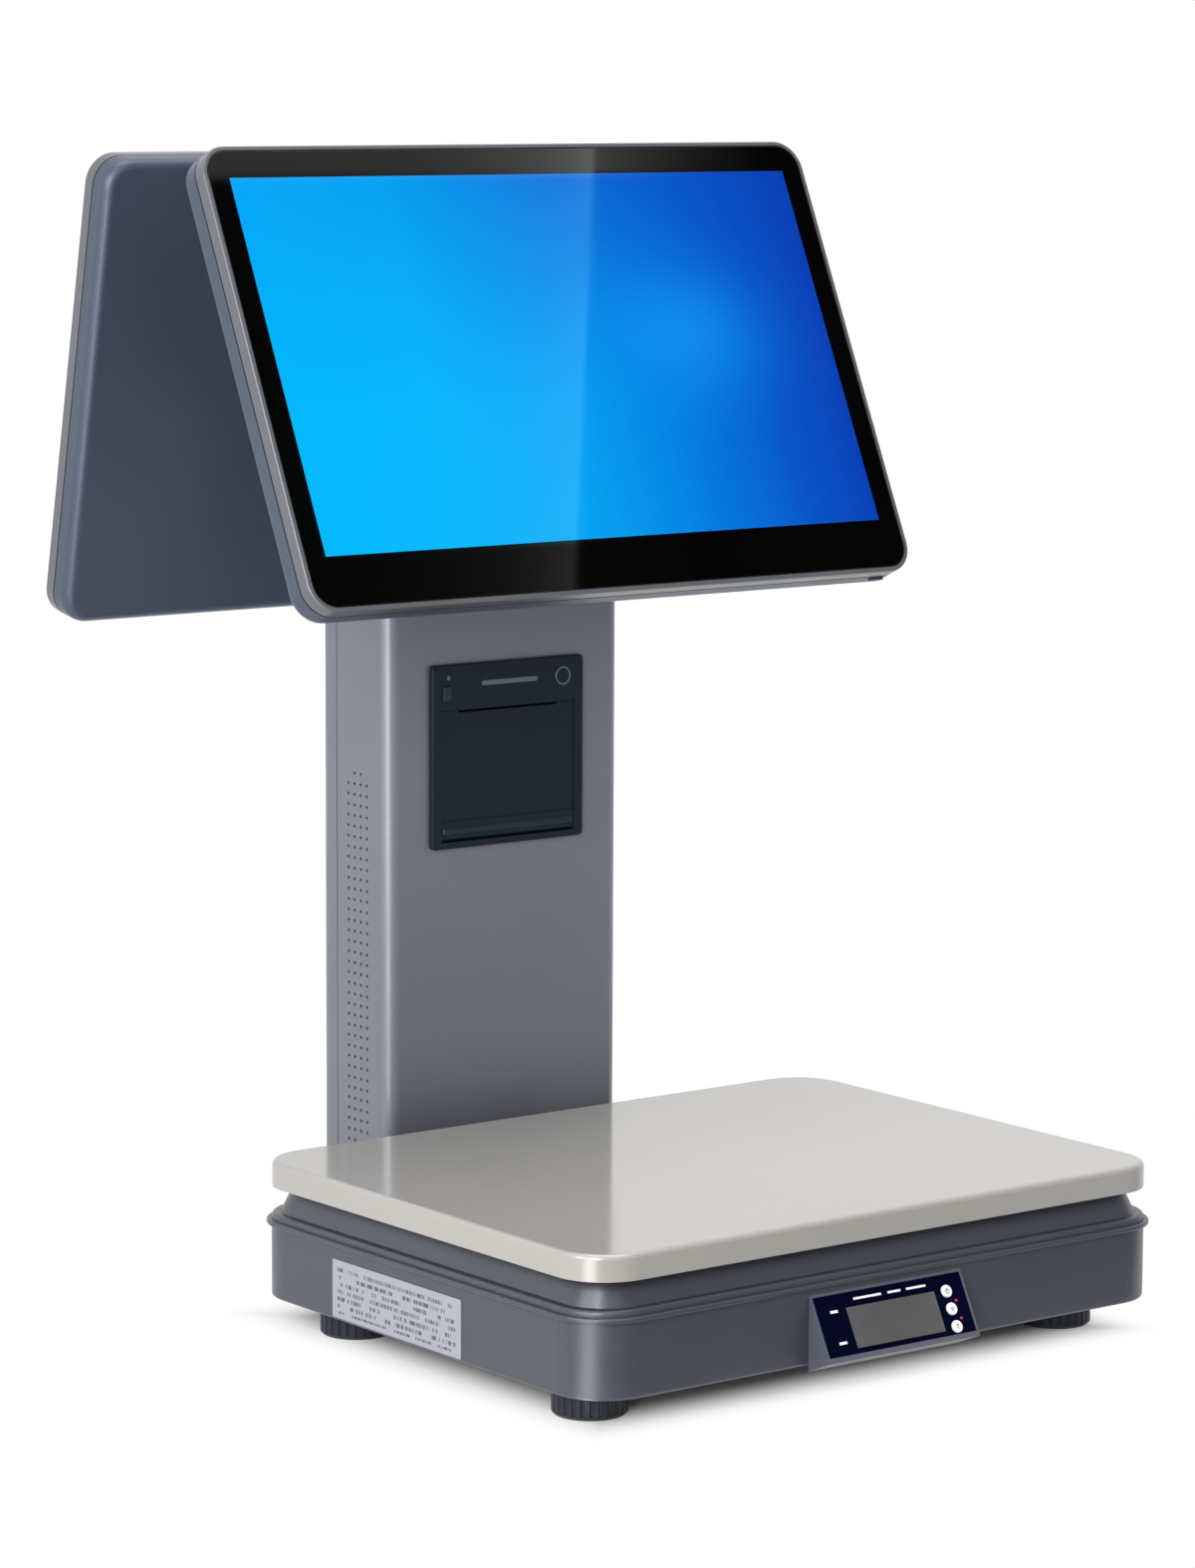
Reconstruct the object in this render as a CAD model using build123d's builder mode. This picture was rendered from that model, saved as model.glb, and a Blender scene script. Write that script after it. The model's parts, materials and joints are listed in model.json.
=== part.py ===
"""Counter-top dual-screen weighing till: platform scale, printer column and two tilting screens.

The customer stands at +Y and the cashier at -Y. The origin is on the table, below the middle
of the whole object. Lengths are millimetres.
"""
from build123d import *
import os
from math import atan2, cos, degrees, hypot, radians, sin

os.makedirs("parts", exist_ok=True)

# ---------------------------------------------------------------- driving dimensions
# weighing tray
tray_width = 353.1
tray_depth = 274.7
tray_top = 84.0
tray_skirt = 12.6
tray_sheet = 1.2
tray_corner = 26.0
tray_edge = 2.5

# scale base
base_margin = 0.35
base_bottom = 16.5
part_line = 52.5
base_wall = 2.5
base_foot_round = 1.5
bead_height = 2.7
bead_proud = 2.5
bead_round = 1.1
band_height = 3.2
band_round = 2.2
ledge_width = 4.6
taper_run = 6.0
cover_top = 71.0
cover_round = 1.5
hub_opening_width = 150.0
hub_opening_depth = 90.0
hub_opening_corner = 8.0
hole_slack = 1.0

# levelling feet
foot_inset_x = 32.4
foot_inset_y = 44.2
knob_radius = 17.8
knob_height = 14.0
knob_ribs = 26
knob_rib_depth = 0.9
knob_foot_bevel = 1.2
knob_top_round = 1.0
knob_grip_start = 2.0
stud_radius = 4.0
stud_length = 36.0
stud_seat = 4.0
stud_bevel = 0.8
nut_height = 6.0
nut_width = 13.0
running_gap = 0.05

# base frame and load cell
frame_plate = 4.0
frame_boss_radius = 9.0
frame_boss_height = 7.0
frame_rib = 6.0
frame_rib_height = 8.0
frame_rib_inset = 30.0
frame_rib_front = -30.0
frame_rib_rear = 60.0
frame_margin_x = 6.0
frame_margin_y = 24.0
cell_length = 130.0
cell_width = 34.0
cell_height = 28.0
cell_spacer = 7.0
cell_end = 32.0
cell_bore_radius = 9.0
cell_bore_pitch = 32.0
cell_slot = 4.0
cell_bolt_radius = 3.0
cell_bolt_pitch = 14.0
cell_bolt_head = 5.0
cell_bolt_head_height = 5.0
cell_bolt_depth = 14.0
bolt_tip_gap = 1.0
cell_round = 1.5

# spider that carries the tray
spider_arm = 16.0
spider_thick = 6.2
spider_inset_x = 19.5
spider_inset_y = 5.5
spider_pad = 14.0
hub_bolt_clearance = 3.0
hub_depth = 56.0
hub_rim = 8.0
hub_corner = 6.0
hub_pocket_corner = 4.0
hub_floor = 4.0
hub_spacer = 4.0
buffer_radius = 9.0
buffer_height = 4.0
buffer_bevel = 0.8
stop_inset = 7.0
stop_gap = 0.4
stop_radius = 2.5
stop_nut_width = 8.0
stop_nut_height = 4.0

# weight display on the front of the base
display_x = -4.1
display_width = 93.0
display_below_line = 2.8
display_drop = 27.9
display_lean = 14.4
display_reach = 15.5
display_lip = 1.6
display_undercut = 6.6
display_wall = 2.0
display_window_side = 9.5
display_window_edge = 2.5
overlay_width = 90.6
overlay_height = 29.4
overlay_drop = 0.4
overlay_thick = 0.5
overlay_gap = 0.15
overlay_bed = 0.2
lcd_window_width = 54.5
lcd_window_height = 19.8
lcd_drop = 2.7
lcd_rim = 2.0
lcd_thick = 2.2
lcd_sunk = 0.1
key_radius = 3.0
key_pitch = 8.7
key_offset = 34.2
key_proud = 0.8
key_round = 0.4
key_flange = 0.8
key_flange_grow = 0.7
key_gap = 0.15
scale_board_width = 92.0
scale_board_depth = 54.0
board_thick = 1.6
scale_board_stand = 6.0
scale_board_x = 52.0
scale_board_setback = 38.5
board_post_inset = 4.0
board_post_radius = 3.0
chip_thick = 3.0
scale_chip = 14.0
scale_chips = [(-26.0, 6.0), (4.0, 12.0)]
scale_socket_width = 36.0
scale_socket_depth = 6.0
scale_socket_place = (-20.0, -18.0)

# rating plate
plate_length = 104.4
plate_height = 28.4
plate_thick = 0.4
plate_corner = 0.8
plate_setback = 99.7

# column
column_width = 148.4
column_depth = 59.0
column_gap = 30.3
column_corner = 8.0
column_top = 412.0
shell_wall = 1.5
cover_wall = 2.0
seam_from_front = 43.0
seam_gap = 0.6
neck_gap = 0.3
vent_radius = 0.85
vent_pitch = 5.4
vent_columns = 4
vent_rows = 35
vent_centre_y = 25.1
vent_centre_z = 161.0
cable_way_width = 60.0
cable_way_top = 43.0
foot_plate = 5.0
foot_bevel = 0.8
foot_under_base = 59.7
foot_behind = 28.0
pad_radius = 12.5
pad_pitch = 110.0
pad_inset = 14.0
pad_bevel = 1.5
foot_bolt_radius = 3.0
foot_bolt_head = 5.0
foot_bolt_head_height = 4.0
foot_bolt_past = 3.0
foot_bolt_x = 55.0
foot_bolt_inset = 25.0
spine_bolt_side = 17.0
spine_bolt_row = 10.0

# spine inside the column
spine_width = 124.0
spine_sheet = 2.0
spine_end = 3.0
spine_from_front = 7.0
spine_depth = 40.0
spine_top = 408.0
board_stand = 5.0
board_post = 3.5
board_post_x = 44.0
board_post_pitch = 78.0
spine_slot_length = 40.0
spine_slot_width = 14.0
board_width = 100.0
board_height = 168.0
board_foot = 42.0
processor_size = 34.0
processor_rise = 20.0
memory_length = 68.0
memory_thick = 5.0
memory_drop = 38.0
memory_pitch = 8.0
plug_width = 16.0
plug_height = 12.0
plug_drop = 64.0
plug_pitch = 32.0
socket_thick = 8.0
sink_size = 60.0
sink_base = 4.0
sink_fin = 14.0
sink_fins = 9
sink_fin_thick = 1.6
cap_height = 3.5
cap_lip = 4.0
cap_round = 1.5
cap_lip_gap = 0.3
cap_slot_gap = 1.5
cover_screw_radius = 1.5
cover_screw_head = 3.0
cover_screw_slack = 0.2
screw_sink = 1.2
cover_boss = 4.0
cover_screw_side = 12.0
cover_screw_drop = 42.0
cover_screw_pitch = 130.0
port_panel_width = 86.0
port_panel_height = 30.0
port_window_width = 76.0
port_window_height = 22.0
port_height_z = 62.0
port_panel_sheet = 1.5
port_recess = 8.0
port_contact_back = 1.0
usb_x = -8.0
usb_pitch = 9.0
usb_shell_width = 15.2
usb_shell_height = 7.6
usb_mouth_width = 12.6
usb_mouth_height = 5.0
usb_tongue_width = 10.6
usb_tongue_height = 1.8
network_x = 16.0
network_shell_width = 16.0
network_shell_height = 14.0
network_mouth_width = 12.0
network_mouth_height = 8.5
power_x = -29.0
power_shell = 11.0
power_mouth_radius = 3.2
power_pin_radius = 1.2

# receipt printer in the column's front
printer_width = 95.4
printer_height = 93.9
printer_proud = 3.0
printer_corner = 2.5
printer_edge = 0.8
printer_centre_z = 266.65
printer_rim = 3.0
printer_sill_rim = 1.8
printer_sleeve = 19.0
sleeve_wall = 2.7
sleeve_gap = 0.2
sleeve_roof = 1.5
door_sill = 3.4
door_opening = 67.1
door_gap = 0.3
door_notch = 1.0
door_groove_rise = 10.6
door_groove_width = 0.8
door_groove_depth = 0.5
door_thick = 5.2
door_peg_radius = 1.5
door_peg_length = 2.0
slot_width = 62.0
platen_radius = 4.5
platen_shaft = 2.0
platen_length = 59.0
platen_back = 8.5
platen_rise = 57.5
ear_thick = 2.5
ear_round = 3.6
ear_side_gap = 1.0
ear_root = 0.5
roll_radius = 19.5
roll_width = 57.4
roll_core = 6.0
bucket_wall = 1.5
bucket_side_gap = 1.2
bucket_door_gap = 0.6
bucket_rise = 1.5
bucket_height = 46.5
roll_door_gap = 0.9
roll_floor_gap = 0.3
head_gap = 0.4
head_thick = 2.5
head_height = 15.4
head_drop = 6.6
head_flange = 8.0
tear_height = 5.0
tear_rise = 2.3
tear_side_gap = 0.3
tear_thick = 0.8
tear_tooth = 0.8
tear_tooth_drop = 0.2
tear_pitch = 1.6
tear_teeth = 38
lever_x = -38.9
lever_width = 4.6
lever_height = 7.4
lever_rise = 32.4
lever_corner = 0.7
lever_proud = 0.8
feed_x = 34.2
feed_radius = 5.2
feed_rise = 36.8
feed_proud = 0.4
button_edge = 0.4
lamp_x = 0.6
lamp_length = 35.4
lamp_height = 2.4
lamp_rise = 36.4
lamp_sunk = 0.1
lamp_lip = 1.0
dot_x = -37.7
dot_radius = 1.1
dot_rise = 40.3
button_gap = 0.15
button_flange = 1.0
button_lip = 1.0

# screens
panel_width = 350.0
panel_height = 200.0
panel_thick = 4.6
panel_rise = 5.7
panel_gap = 0.5
screen_side_border = 11.4
screen_end_border = 19.1
screen_corner = 15.0
screen_frame_depth = 7.0
screen_shell_depth = 13.0
screen_back_round = 5.0
screen_front_round = 0.8
screen_groove = 1.0
glass_lip = 2.4
glass_thick = 1.8
glass_corner = 12.6
glass_gap = 0.15
glass_sunk = 0.2
glass_edge = 0.5
screen_wall = 2.0
screen_rib = 3.0
screen_rib_inset = 75.0
screen_rib_short = 5.0

# screen hinges
cashier_tilt = 24.6
cashier_reach = 11.6
cashier_axis_z = 447.3
customer_tilt = 11.2
customer_reach = 17.2
customer_axis_z = 444.0
hinge_gap = 24.0
hinge_plate = 3.0
hinge_plate_width = 100.0
hinge_plate_height = 64.0
hinge_plate_corner = 5.0
hinge_slot_length = 34.0
hinge_slot_width = 16.0
ear_plate = 4.0
ear_radius = 9.0
ear_inner = 20.0
pin_radius = 4.0
pin_collar = 8.0
arm_plate = 6.0
arm_radius = 10.0
arm_inner = 27.0
arm_foot_depth = 28.0
bracket_margin = 7.0
bracket_base = 4.0
bracket_corner = 3.0
bracket_slot_length = 36.0
bracket_slot_width = 12.0
pin_nut_width = 13.0
pin_nut_height = 4.6
pin_slack = 0.1
web_thick = 6.0
power_key_inset = 17.7
power_key_width = 9.0
power_key_depth = 3.0
power_key_lip = 5.0
power_key_from_front = 11.0
power_key_proud = 0.8

# ---------------------------------------------------------------- stations worked out from them
base_width = tray_width + 2 * base_margin
base_depth = tray_depth + 2 * base_margin
foot_pitch_x = base_width - 2 * foot_inset_x
foot_pitch_y = base_depth - 2 * foot_inset_y
frame_width = foot_pitch_x + 2 * (frame_boss_radius + frame_margin_x)
frame_depth = foot_pitch_y + 2 * (frame_boss_radius + frame_margin_y)
spider_reach_x = foot_pitch_x / 2 - spider_inset_x
spider_reach_y = foot_pitch_y / 2 - spider_inset_y
scale_board_y = scale_board_setback - frame_depth / 2
base_corner = tray_corner + base_margin
band_bottom = part_line + bead_height
ledge_z = band_bottom + band_height
base_floor = base_bottom + base_wall
screen_depth = screen_frame_depth + screen_shell_depth
screen_width = panel_width + 2 * screen_side_border
screen_height = panel_height + 2 * screen_end_border
glass_width = screen_width - 2 * glass_lip
glass_height = screen_height - 2 * glass_lip
customer_overhang = screen_front_round \
    + (hinge_gap + screen_depth - screen_front_round) * cos(radians(customer_tilt)) \
    + (screen_height / 2 - screen_front_round) * sin(radians(customer_tilt))
overall_depth = display_reach + base_margin + tray_depth + column_gap + column_depth \
    + customer_reach + customer_overhang
front_wall = display_reach - overall_depth / 2
tray_front = front_wall + base_margin
base_mid = tray_front + tray_depth / 2
column_front = tray_front + tray_depth + column_gap
column_back = column_front + column_depth
column_mid = (column_front + column_back) / 2
neck_end = column_front - neck_gap
tray_inside = tray_top - tray_sheet
spider_top = tray_inside - buffer_height
spider_under = spider_top - spider_thick
frame_top = base_floor + frame_plate
cell_under = frame_top + cell_spacer
cell_top = cell_under + cell_height
hub_under = cell_top + hub_spacer
cell_live_end = (cell_length - cell_end) / 2
hub_reach = cell_live_end + cell_bolt_pitch / 2 + cell_bolt_head + hub_bolt_clearance
hub_length = 2 * (hub_reach + hub_rim)
foot_plate_under = base_bottom - foot_plate
foot_front = tray_front + tray_depth - foot_under_base
foot_back = column_back + foot_behind
display_top = part_line - display_below_line
display_bottom = display_top - display_drop


def save(piece, label):
    """Name the finished piece and write its STEP file."""
    piece.part.label = label
    export_step(piece.part, f"parts/{label}.step")


def save_welded(pieces, label):
    """Name pieces that touch but keep their own solids as one node and write its STEP file."""
    node = Compound([solid for piece in pieces for solid in piece.part.solids()])
    node.label = label
    export_step(node, f"parts/{label}.step")


def base_plan(grow):
    """Plan of the base and of its neck to the column, grown outwards by grow."""
    with Locations((0, base_mid)):
        RectangleRounded(base_width + 2 * grow, base_depth + 2 * grow, base_corner + grow)
    with Locations((0, (base_mid + neck_end) / 2)):
        Rectangle(column_width + 2 * grow, neck_end - base_mid)


def at_base(x=0.0, y=0.0):
    """A place in plan measured from the middle of the weighing tray."""
    return Locations((x, base_mid + y))


def foot_grid():
    """The four levelling feet in plan."""
    return Locations(*[(x, base_mid + y) for x in (-foot_pitch_x / 2, foot_pitch_x / 2)
                       for y in (-foot_pitch_y / 2, foot_pitch_y / 2)])


# ---------------------------------------------------------------- base housings
foot_bolts_base = [(side * foot_bolt_x, foot_front + foot_bolt_inset) for side in (-1, 1)]
foot_bolts_spine = [(side * (spine_width / 2 - spine_bolt_side), column_front + spine_from_front + y)
                    for side in (-1, 1) for y in (spine_bolt_row, spine_depth - spine_bolt_row)]
display_window_width = display_width - 2 * display_window_side
display_window_low = display_bottom + display_window_edge
display_window_high = display_top - display_window_edge

with BuildPart() as lower_housing:
    with BuildSketch(Plane.XY.offset(base_bottom)):
        base_plan(0)
    extrude(amount=part_line - base_bottom)
    fillet(lower_housing.faces().sort_by(Axis.Z)[0].edges(), base_foot_round)
    with BuildSketch(Plane.XY.offset(base_floor)):
        base_plan(-base_wall)
    extrude(amount=part_line - base_floor, mode=Mode.SUBTRACT)
    with BuildSketch(Plane.XY.offset(base_bottom)):
        with foot_grid():
            Circle(stud_radius + hole_slack)
        with Locations(*foot_bolts_base):
            Circle(foot_bolt_radius + running_gap)
    extrude(amount=base_wall, mode=Mode.SUBTRACT)
    with BuildSketch(Plane.XZ.offset(-front_wall)):
        with Locations((display_x, (display_window_low + display_window_high) / 2)):
            Rectangle(display_window_width, display_window_high - display_window_low)
    extrude(amount=-base_wall, mode=Mode.SUBTRACT)
save(lower_housing, "lower_housing")

cover_taper = degrees(atan2(taper_run, cover_top - ledge_z))
stop_places = [(side_x * (spider_reach_x - stop_inset), side_y * (spider_reach_y - stop_inset))
               for side_x in (-1, 1) for side_y in (-1, 1)]

with BuildPart() as upper_cover:
    with BuildSketch(Plane.XY.offset(part_line)):
        base_plan(bead_proud)
    extrude(amount=bead_height)
    rim = upper_cover.faces().sort_by(Axis.Z)
    fillet(rim[0].edges() + rim[-1].edges(), bead_round)
    with BuildSketch(Plane.XY.offset(part_line)):
        base_plan(0)
    extrude(amount=ledge_z - part_line)
    fillet(upper_cover.faces().sort_by(Axis.Z)[-1].edges(), band_round)
    with BuildSketch(Plane.XY.offset(ledge_z)):
        with at_base():
            RectangleRounded(base_width - 2 * ledge_width, base_depth - 2 * ledge_width,
                             base_corner - ledge_width)
    extrude(amount=cover_top - ledge_z, taper=cover_taper)
    fillet(upper_cover.faces().sort_by(Axis.Z)[-1].edges(), cover_round)
    with BuildSketch(Plane.XY.offset(part_line)):
        base_plan(-base_wall)
    extrude(amount=ledge_z - base_wall - part_line, mode=Mode.SUBTRACT)
    with BuildSketch(Plane.XY.offset(ledge_z - base_wall)):
        with at_base():
            RectangleRounded(base_width - 2 * (ledge_width + base_wall),
                             base_depth - 2 * (ledge_width + base_wall),
                             base_corner - ledge_width - base_wall)
    extrude(amount=cover_top - ledge_z, taper=cover_taper, mode=Mode.SUBTRACT)
    with BuildSketch(Plane.XY.offset(cover_top)):
        with at_base():
            RectangleRounded(hub_opening_width, hub_opening_depth, hub_opening_corner)
        with Locations(*[(x, base_mid + y) for x, y in stop_places]):
            Circle(stop_radius + hole_slack)
    extrude(amount=-base_wall, mode=Mode.SUBTRACT)
save(upper_cover, "upper_cover")

# ---------------------------------------------------------------- base frame
frame_corner = frame_boss_radius + frame_margin_x
board_posts = [(scale_board_x + side_x * (scale_board_width / 2 - board_post_inset),
                scale_board_y + side_y * (scale_board_depth / 2 - board_post_inset))
               for side_x in (-1, 1) for side_y in (-1, 1)]
cell_dead_end = -cell_live_end

with BuildPart() as base_frame:
    with BuildSketch(Plane.XY.offset(base_floor)):
        with at_base():
            RectangleRounded(frame_width, frame_depth, frame_corner)
    extrude(amount=frame_plate)
    with BuildSketch(Plane.XY.offset(frame_top)):
        for rib_place in (frame_rib_front, frame_rib_rear):
            with at_base(0, rib_place):
                Rectangle(frame_width - 2 * frame_rib_inset, frame_rib)
    extrude(amount=frame_rib_height)
    with BuildSketch(Plane.XY.offset(frame_top)):
        with foot_grid():
            Circle(frame_boss_radius)
    extrude(amount=frame_boss_height)
    with BuildSketch(Plane.XY.offset(frame_top)):
        with at_base(cell_dead_end):
            Rectangle(cell_end, cell_width)
    extrude(amount=cell_spacer)
    with BuildSketch(Plane.XY.offset(frame_top)):
        with Locations(*[(x, base_mid + y) for x, y in board_posts]):
            Circle(board_post_radius)
    extrude(amount=scale_board_stand)
    with BuildSketch(Plane.XY.offset(base_floor)):
        with foot_grid():
            Circle(stud_radius + running_gap)
        with at_base(cell_dead_end):
            with Locations((-cell_bolt_pitch / 2, 0), (cell_bolt_pitch / 2, 0)):
                Circle(cell_bolt_radius + running_gap)
        with Locations(*foot_bolts_base):
            Circle(foot_bolt_radius + running_gap)
        with Locations(*[(x, base_mid + y) for x, y in stop_places]):
            Circle(stop_radius + running_gap)
    extrude(amount=cell_under - base_floor, mode=Mode.SUBTRACT)
    with BuildSketch(Plane.XY.offset(base_floor)):
        with at_base(cell_dead_end):
            with Locations((-cell_bolt_pitch / 2, 0), (cell_bolt_pitch / 2, 0)):
                Circle(cell_bolt_head + running_gap)
    extrude(amount=cell_bolt_head_height, mode=Mode.SUBTRACT)
save(base_frame, "base_frame")

# ---------------------------------------------------------------- load cell and its bolts
with BuildPart() as load_cell:
    with BuildSketch(Plane.XY.offset(cell_under)):
        with at_base():
            Rectangle(cell_length, cell_width)
    extrude(amount=cell_height)
    fillet(load_cell.edges().filter_by(Axis.Z), cell_round)
    with BuildSketch(Plane.XZ.offset(-base_mid)):
        with Locations((0, cell_under + cell_height / 2)):
            with Locations((-cell_bore_pitch / 2, 0), (cell_bore_pitch / 2, 0)):
                Circle(cell_bore_radius)
            Rectangle(cell_bore_pitch, cell_slot)
    extrude(amount=cell_width, both=True, mode=Mode.SUBTRACT)
    with BuildSketch(Plane.XY.offset(cell_under)):
        with at_base(cell_dead_end):
            with Locations((-cell_bolt_pitch / 2, 0), (cell_bolt_pitch / 2, 0)):
                Circle(cell_bolt_radius + running_gap)
    extrude(amount=cell_bolt_depth, mode=Mode.SUBTRACT)
    with BuildSketch(Plane.XY.offset(cell_top)):
        with at_base(cell_live_end):
            with Locations((-cell_bolt_pitch / 2, 0), (cell_bolt_pitch / 2, 0)):
                Circle(cell_bolt_radius + running_gap)
    extrude(amount=-cell_bolt_depth, mode=Mode.SUBTRACT)
save(load_cell, "load_cell")

with BuildPart() as load_cell_bolts:
    with BuildSketch(Plane.XY.offset(base_floor)):
        with at_base(cell_dead_end):
            with Locations((-cell_bolt_pitch / 2, 0), (cell_bolt_pitch / 2, 0)):
                Circle(cell_bolt_head)
    extrude(amount=cell_bolt_head_height)
    with BuildSketch(Plane.XY.offset(base_floor)):
        with at_base(cell_dead_end):
            with Locations((-cell_bolt_pitch / 2, 0), (cell_bolt_pitch / 2, 0)):
                Circle(cell_bolt_radius)
    extrude(amount=cell_under - base_floor + cell_bolt_depth - bolt_tip_gap)
    with BuildSketch(Plane.XY.offset(hub_under + hub_floor)):
        with at_base(cell_live_end):
            with Locations((-cell_bolt_pitch / 2, 0), (cell_bolt_pitch / 2, 0)):
                Circle(cell_bolt_head)
    extrude(amount=cell_bolt_head_height)
    with BuildSketch(Plane.XY.offset(cell_top - cell_bolt_depth + bolt_tip_gap)):
        with at_base(cell_live_end):
            with Locations((-cell_bolt_pitch / 2, 0), (cell_bolt_pitch / 2, 0)):
                Circle(cell_bolt_radius)
    extrude(amount=hub_under + hub_floor - cell_top + cell_bolt_depth - bolt_tip_gap)
save(load_cell_bolts, "load_cell_bolts")

# ---------------------------------------------------------------- spider, buffers, stops
arm_angle = degrees(atan2(spider_reach_y, spider_reach_x))
arm_length = 2 * hypot(spider_reach_x, spider_reach_y)
pad_places = [(side_x * spider_reach_x, side_y * spider_reach_y)
              for side_x in (-1, 1) for side_y in (-1, 1)]

with BuildPart() as platter_spider:
    with BuildSketch(Plane.XY.offset(spider_under)):
        with at_base():
            Rectangle(arm_length, spider_arm, rotation=arm_angle)
            Rectangle(arm_length, spider_arm, rotation=-arm_angle)
        with Locations(*[(x, base_mid + y) for x, y in pad_places]):
            Circle(spider_pad)
    extrude(amount=spider_thick)
    with BuildSketch(Plane.XY.offset(hub_under)):
        with at_base():
            RectangleRounded(hub_length, hub_depth, hub_corner)
    extrude(amount=spider_top - hub_under)
    with BuildSketch(Plane.XY.offset(hub_under + hub_floor)):
        with at_base():
            RectangleRounded(hub_length - 2 * hub_rim, hub_depth - 2 * hub_rim,
                             hub_pocket_corner)
    extrude(amount=spider_top - hub_under, mode=Mode.SUBTRACT)
    with BuildSketch(Plane.XY.offset(cell_top)):
        with at_base(cell_live_end):
            Rectangle(cell_end, cell_width)
    extrude(amount=hub_spacer)
    with BuildSketch(Plane.XY.offset(cell_top)):
        with at_base(cell_live_end):
            with Locations((-cell_bolt_pitch / 2, 0), (cell_bolt_pitch / 2, 0)):
                Circle(cell_bolt_radius + running_gap)
    extrude(amount=hub_spacer + hub_floor, mode=Mode.SUBTRACT)
save(platter_spider, "platter_spider")

with BuildPart() as spider_buffers:
    with BuildSketch(Plane.XY.offset(spider_top)):
        with Locations(*[(x, base_mid + y) for x, y in pad_places]):
            Circle(buffer_radius)
    extrude(amount=buffer_height)
    chamfer(spider_buffers.faces().filter_by(Axis.Z).group_by(Axis.Z)[-1].edges(), buffer_bevel)
save(spider_buffers, "spider_buffers")

with BuildPart() as overload_stops:
    with BuildSketch(Plane.XY.offset(base_floor)):
        with Locations(*[(x, base_mid + y) for x, y in stop_places]):
            Circle(stop_radius)
    extrude(amount=spider_under - stop_gap - base_floor)
    with BuildSketch(Plane.XY.offset(frame_top)):
        with Locations(*[(x, base_mid + y) for x, y in stop_places]):
            RegularPolygon(stop_nut_width / 2, 6, major_radius=False)
    extrude(amount=stop_nut_height)
save(overload_stops, "overload_stops")

# ---------------------------------------------------------------- weighing tray
with BuildPart() as platter:
    with BuildSketch(Plane.XY.offset(tray_top - tray_skirt)):
        with at_base():
            RectangleRounded(tray_width, tray_depth, tray_corner)
    extrude(amount=tray_skirt)
    fillet(platter.faces().sort_by(Axis.Z)[-1].edges(), tray_edge)
    with BuildPart(mode=Mode.PRIVATE) as tray_hollow:
        with BuildSketch(Plane.XY.offset(tray_top - tray_skirt)):
            with at_base():
                RectangleRounded(tray_width - 2 * tray_sheet, tray_depth - 2 * tray_sheet,
                                 tray_corner - tray_sheet)
        extrude(amount=tray_skirt - tray_sheet)
        fillet(tray_hollow.faces().sort_by(Axis.Z)[-1].edges(), tray_edge - tray_sheet)
    add(tray_hollow.part, mode=Mode.SUBTRACT)
save(platter, "platter")

# ---------------------------------------------------------------- levelling feet
corners = {"front_left": (-1, -1), "front_right": (1, -1), "rear_left": (-1, 1),
           "rear_right": (1, 1)}
for corner, (side_x, side_y) in corners.items():
    place = (side_x * foot_pitch_x / 2, side_y * foot_pitch_y / 2)
    with BuildPart() as stud:
        with BuildSketch(Plane.XY.offset(stud_seat + running_gap)):
            with at_base(*place):
                Circle(stud_radius)
        extrude(amount=stud_length)
        chamfer(stud.faces().sort_by(Axis.Z)[-1].edges(), stud_bevel)
    save(stud, f"stud_{corner}")
    with BuildPart() as knob:
        with BuildSketch():
            with at_base(*place):
                Circle(knob_radius)
        extrude(amount=knob_height)
        chamfer(knob.faces().sort_by(Axis.Z)[0].edges(), knob_foot_bevel)
        fillet(knob.faces().sort_by(Axis.Z)[-1].edges(), knob_top_round)
        with BuildSketch(Plane.XY.offset(knob_grip_start)):
            with at_base(*place):
                with PolarLocations(knob_radius, knob_ribs):
                    Circle(knob_rib_depth)
        extrude(amount=knob_height, mode=Mode.SUBTRACT)
        with BuildSketch(Plane.XY.offset(stud_seat)):
            with at_base(*place):
                Circle(stud_radius + running_gap)
        extrude(amount=knob_height, mode=Mode.SUBTRACT)
    save(knob, f"knob_{corner}")

with BuildPart() as stud_locknuts:
    with BuildSketch(Plane.XY.offset(frame_top + frame_boss_height)):
        with foot_grid():
            RegularPolygon(nut_width / 2, 6, major_radius=False)
        with foot_grid():
            Circle(stud_radius + running_gap, mode=Mode.SUBTRACT)
    extrude(amount=nut_height)
save(stud_locknuts, "stud_locknuts")

# ---------------------------------------------------------------- scale board
with BuildPart() as scale_board:
    with BuildSketch(Plane.XY.offset(frame_top + scale_board_stand)):
        with at_base(scale_board_x, scale_board_y):
            Rectangle(scale_board_width, scale_board_depth)
    extrude(amount=board_thick)
    with BuildSketch(Plane.XY.offset(frame_top + scale_board_stand + board_thick)):
        with at_base(scale_board_x, scale_board_y):
            with Locations(*scale_chips):
                Rectangle(scale_chip, scale_chip)
            with Locations(scale_socket_place):
                Rectangle(scale_socket_width, scale_socket_depth)
    extrude(amount=chip_thick)
save(scale_board, "scale_board")

# ---------------------------------------------------------------- weight display
display_slope = Plane(origin=(display_x, front_wall - display_lean, display_bottom), x_dir=(1, 0, 0),
                      z_dir=(0, -display_drop, display_lean))
slope_length = hypot(display_drop, display_lean)
overlay_recess = overlay_thick + overlay_bed


def on_slope(depth, x=0.0, v=0.0):
    """A plane parallel to the display's face, depth below it, centred x and v from its middle."""
    middle = display_slope.from_local_coords(Vector(x, slope_length / 2 + v, -depth))
    return Plane(origin=middle, x_dir=display_slope.x_dir, z_dir=display_slope.z_dir)


inner_corner = display_slope.from_local_coords(Vector(0, 0.25, -display_wall))

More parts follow.
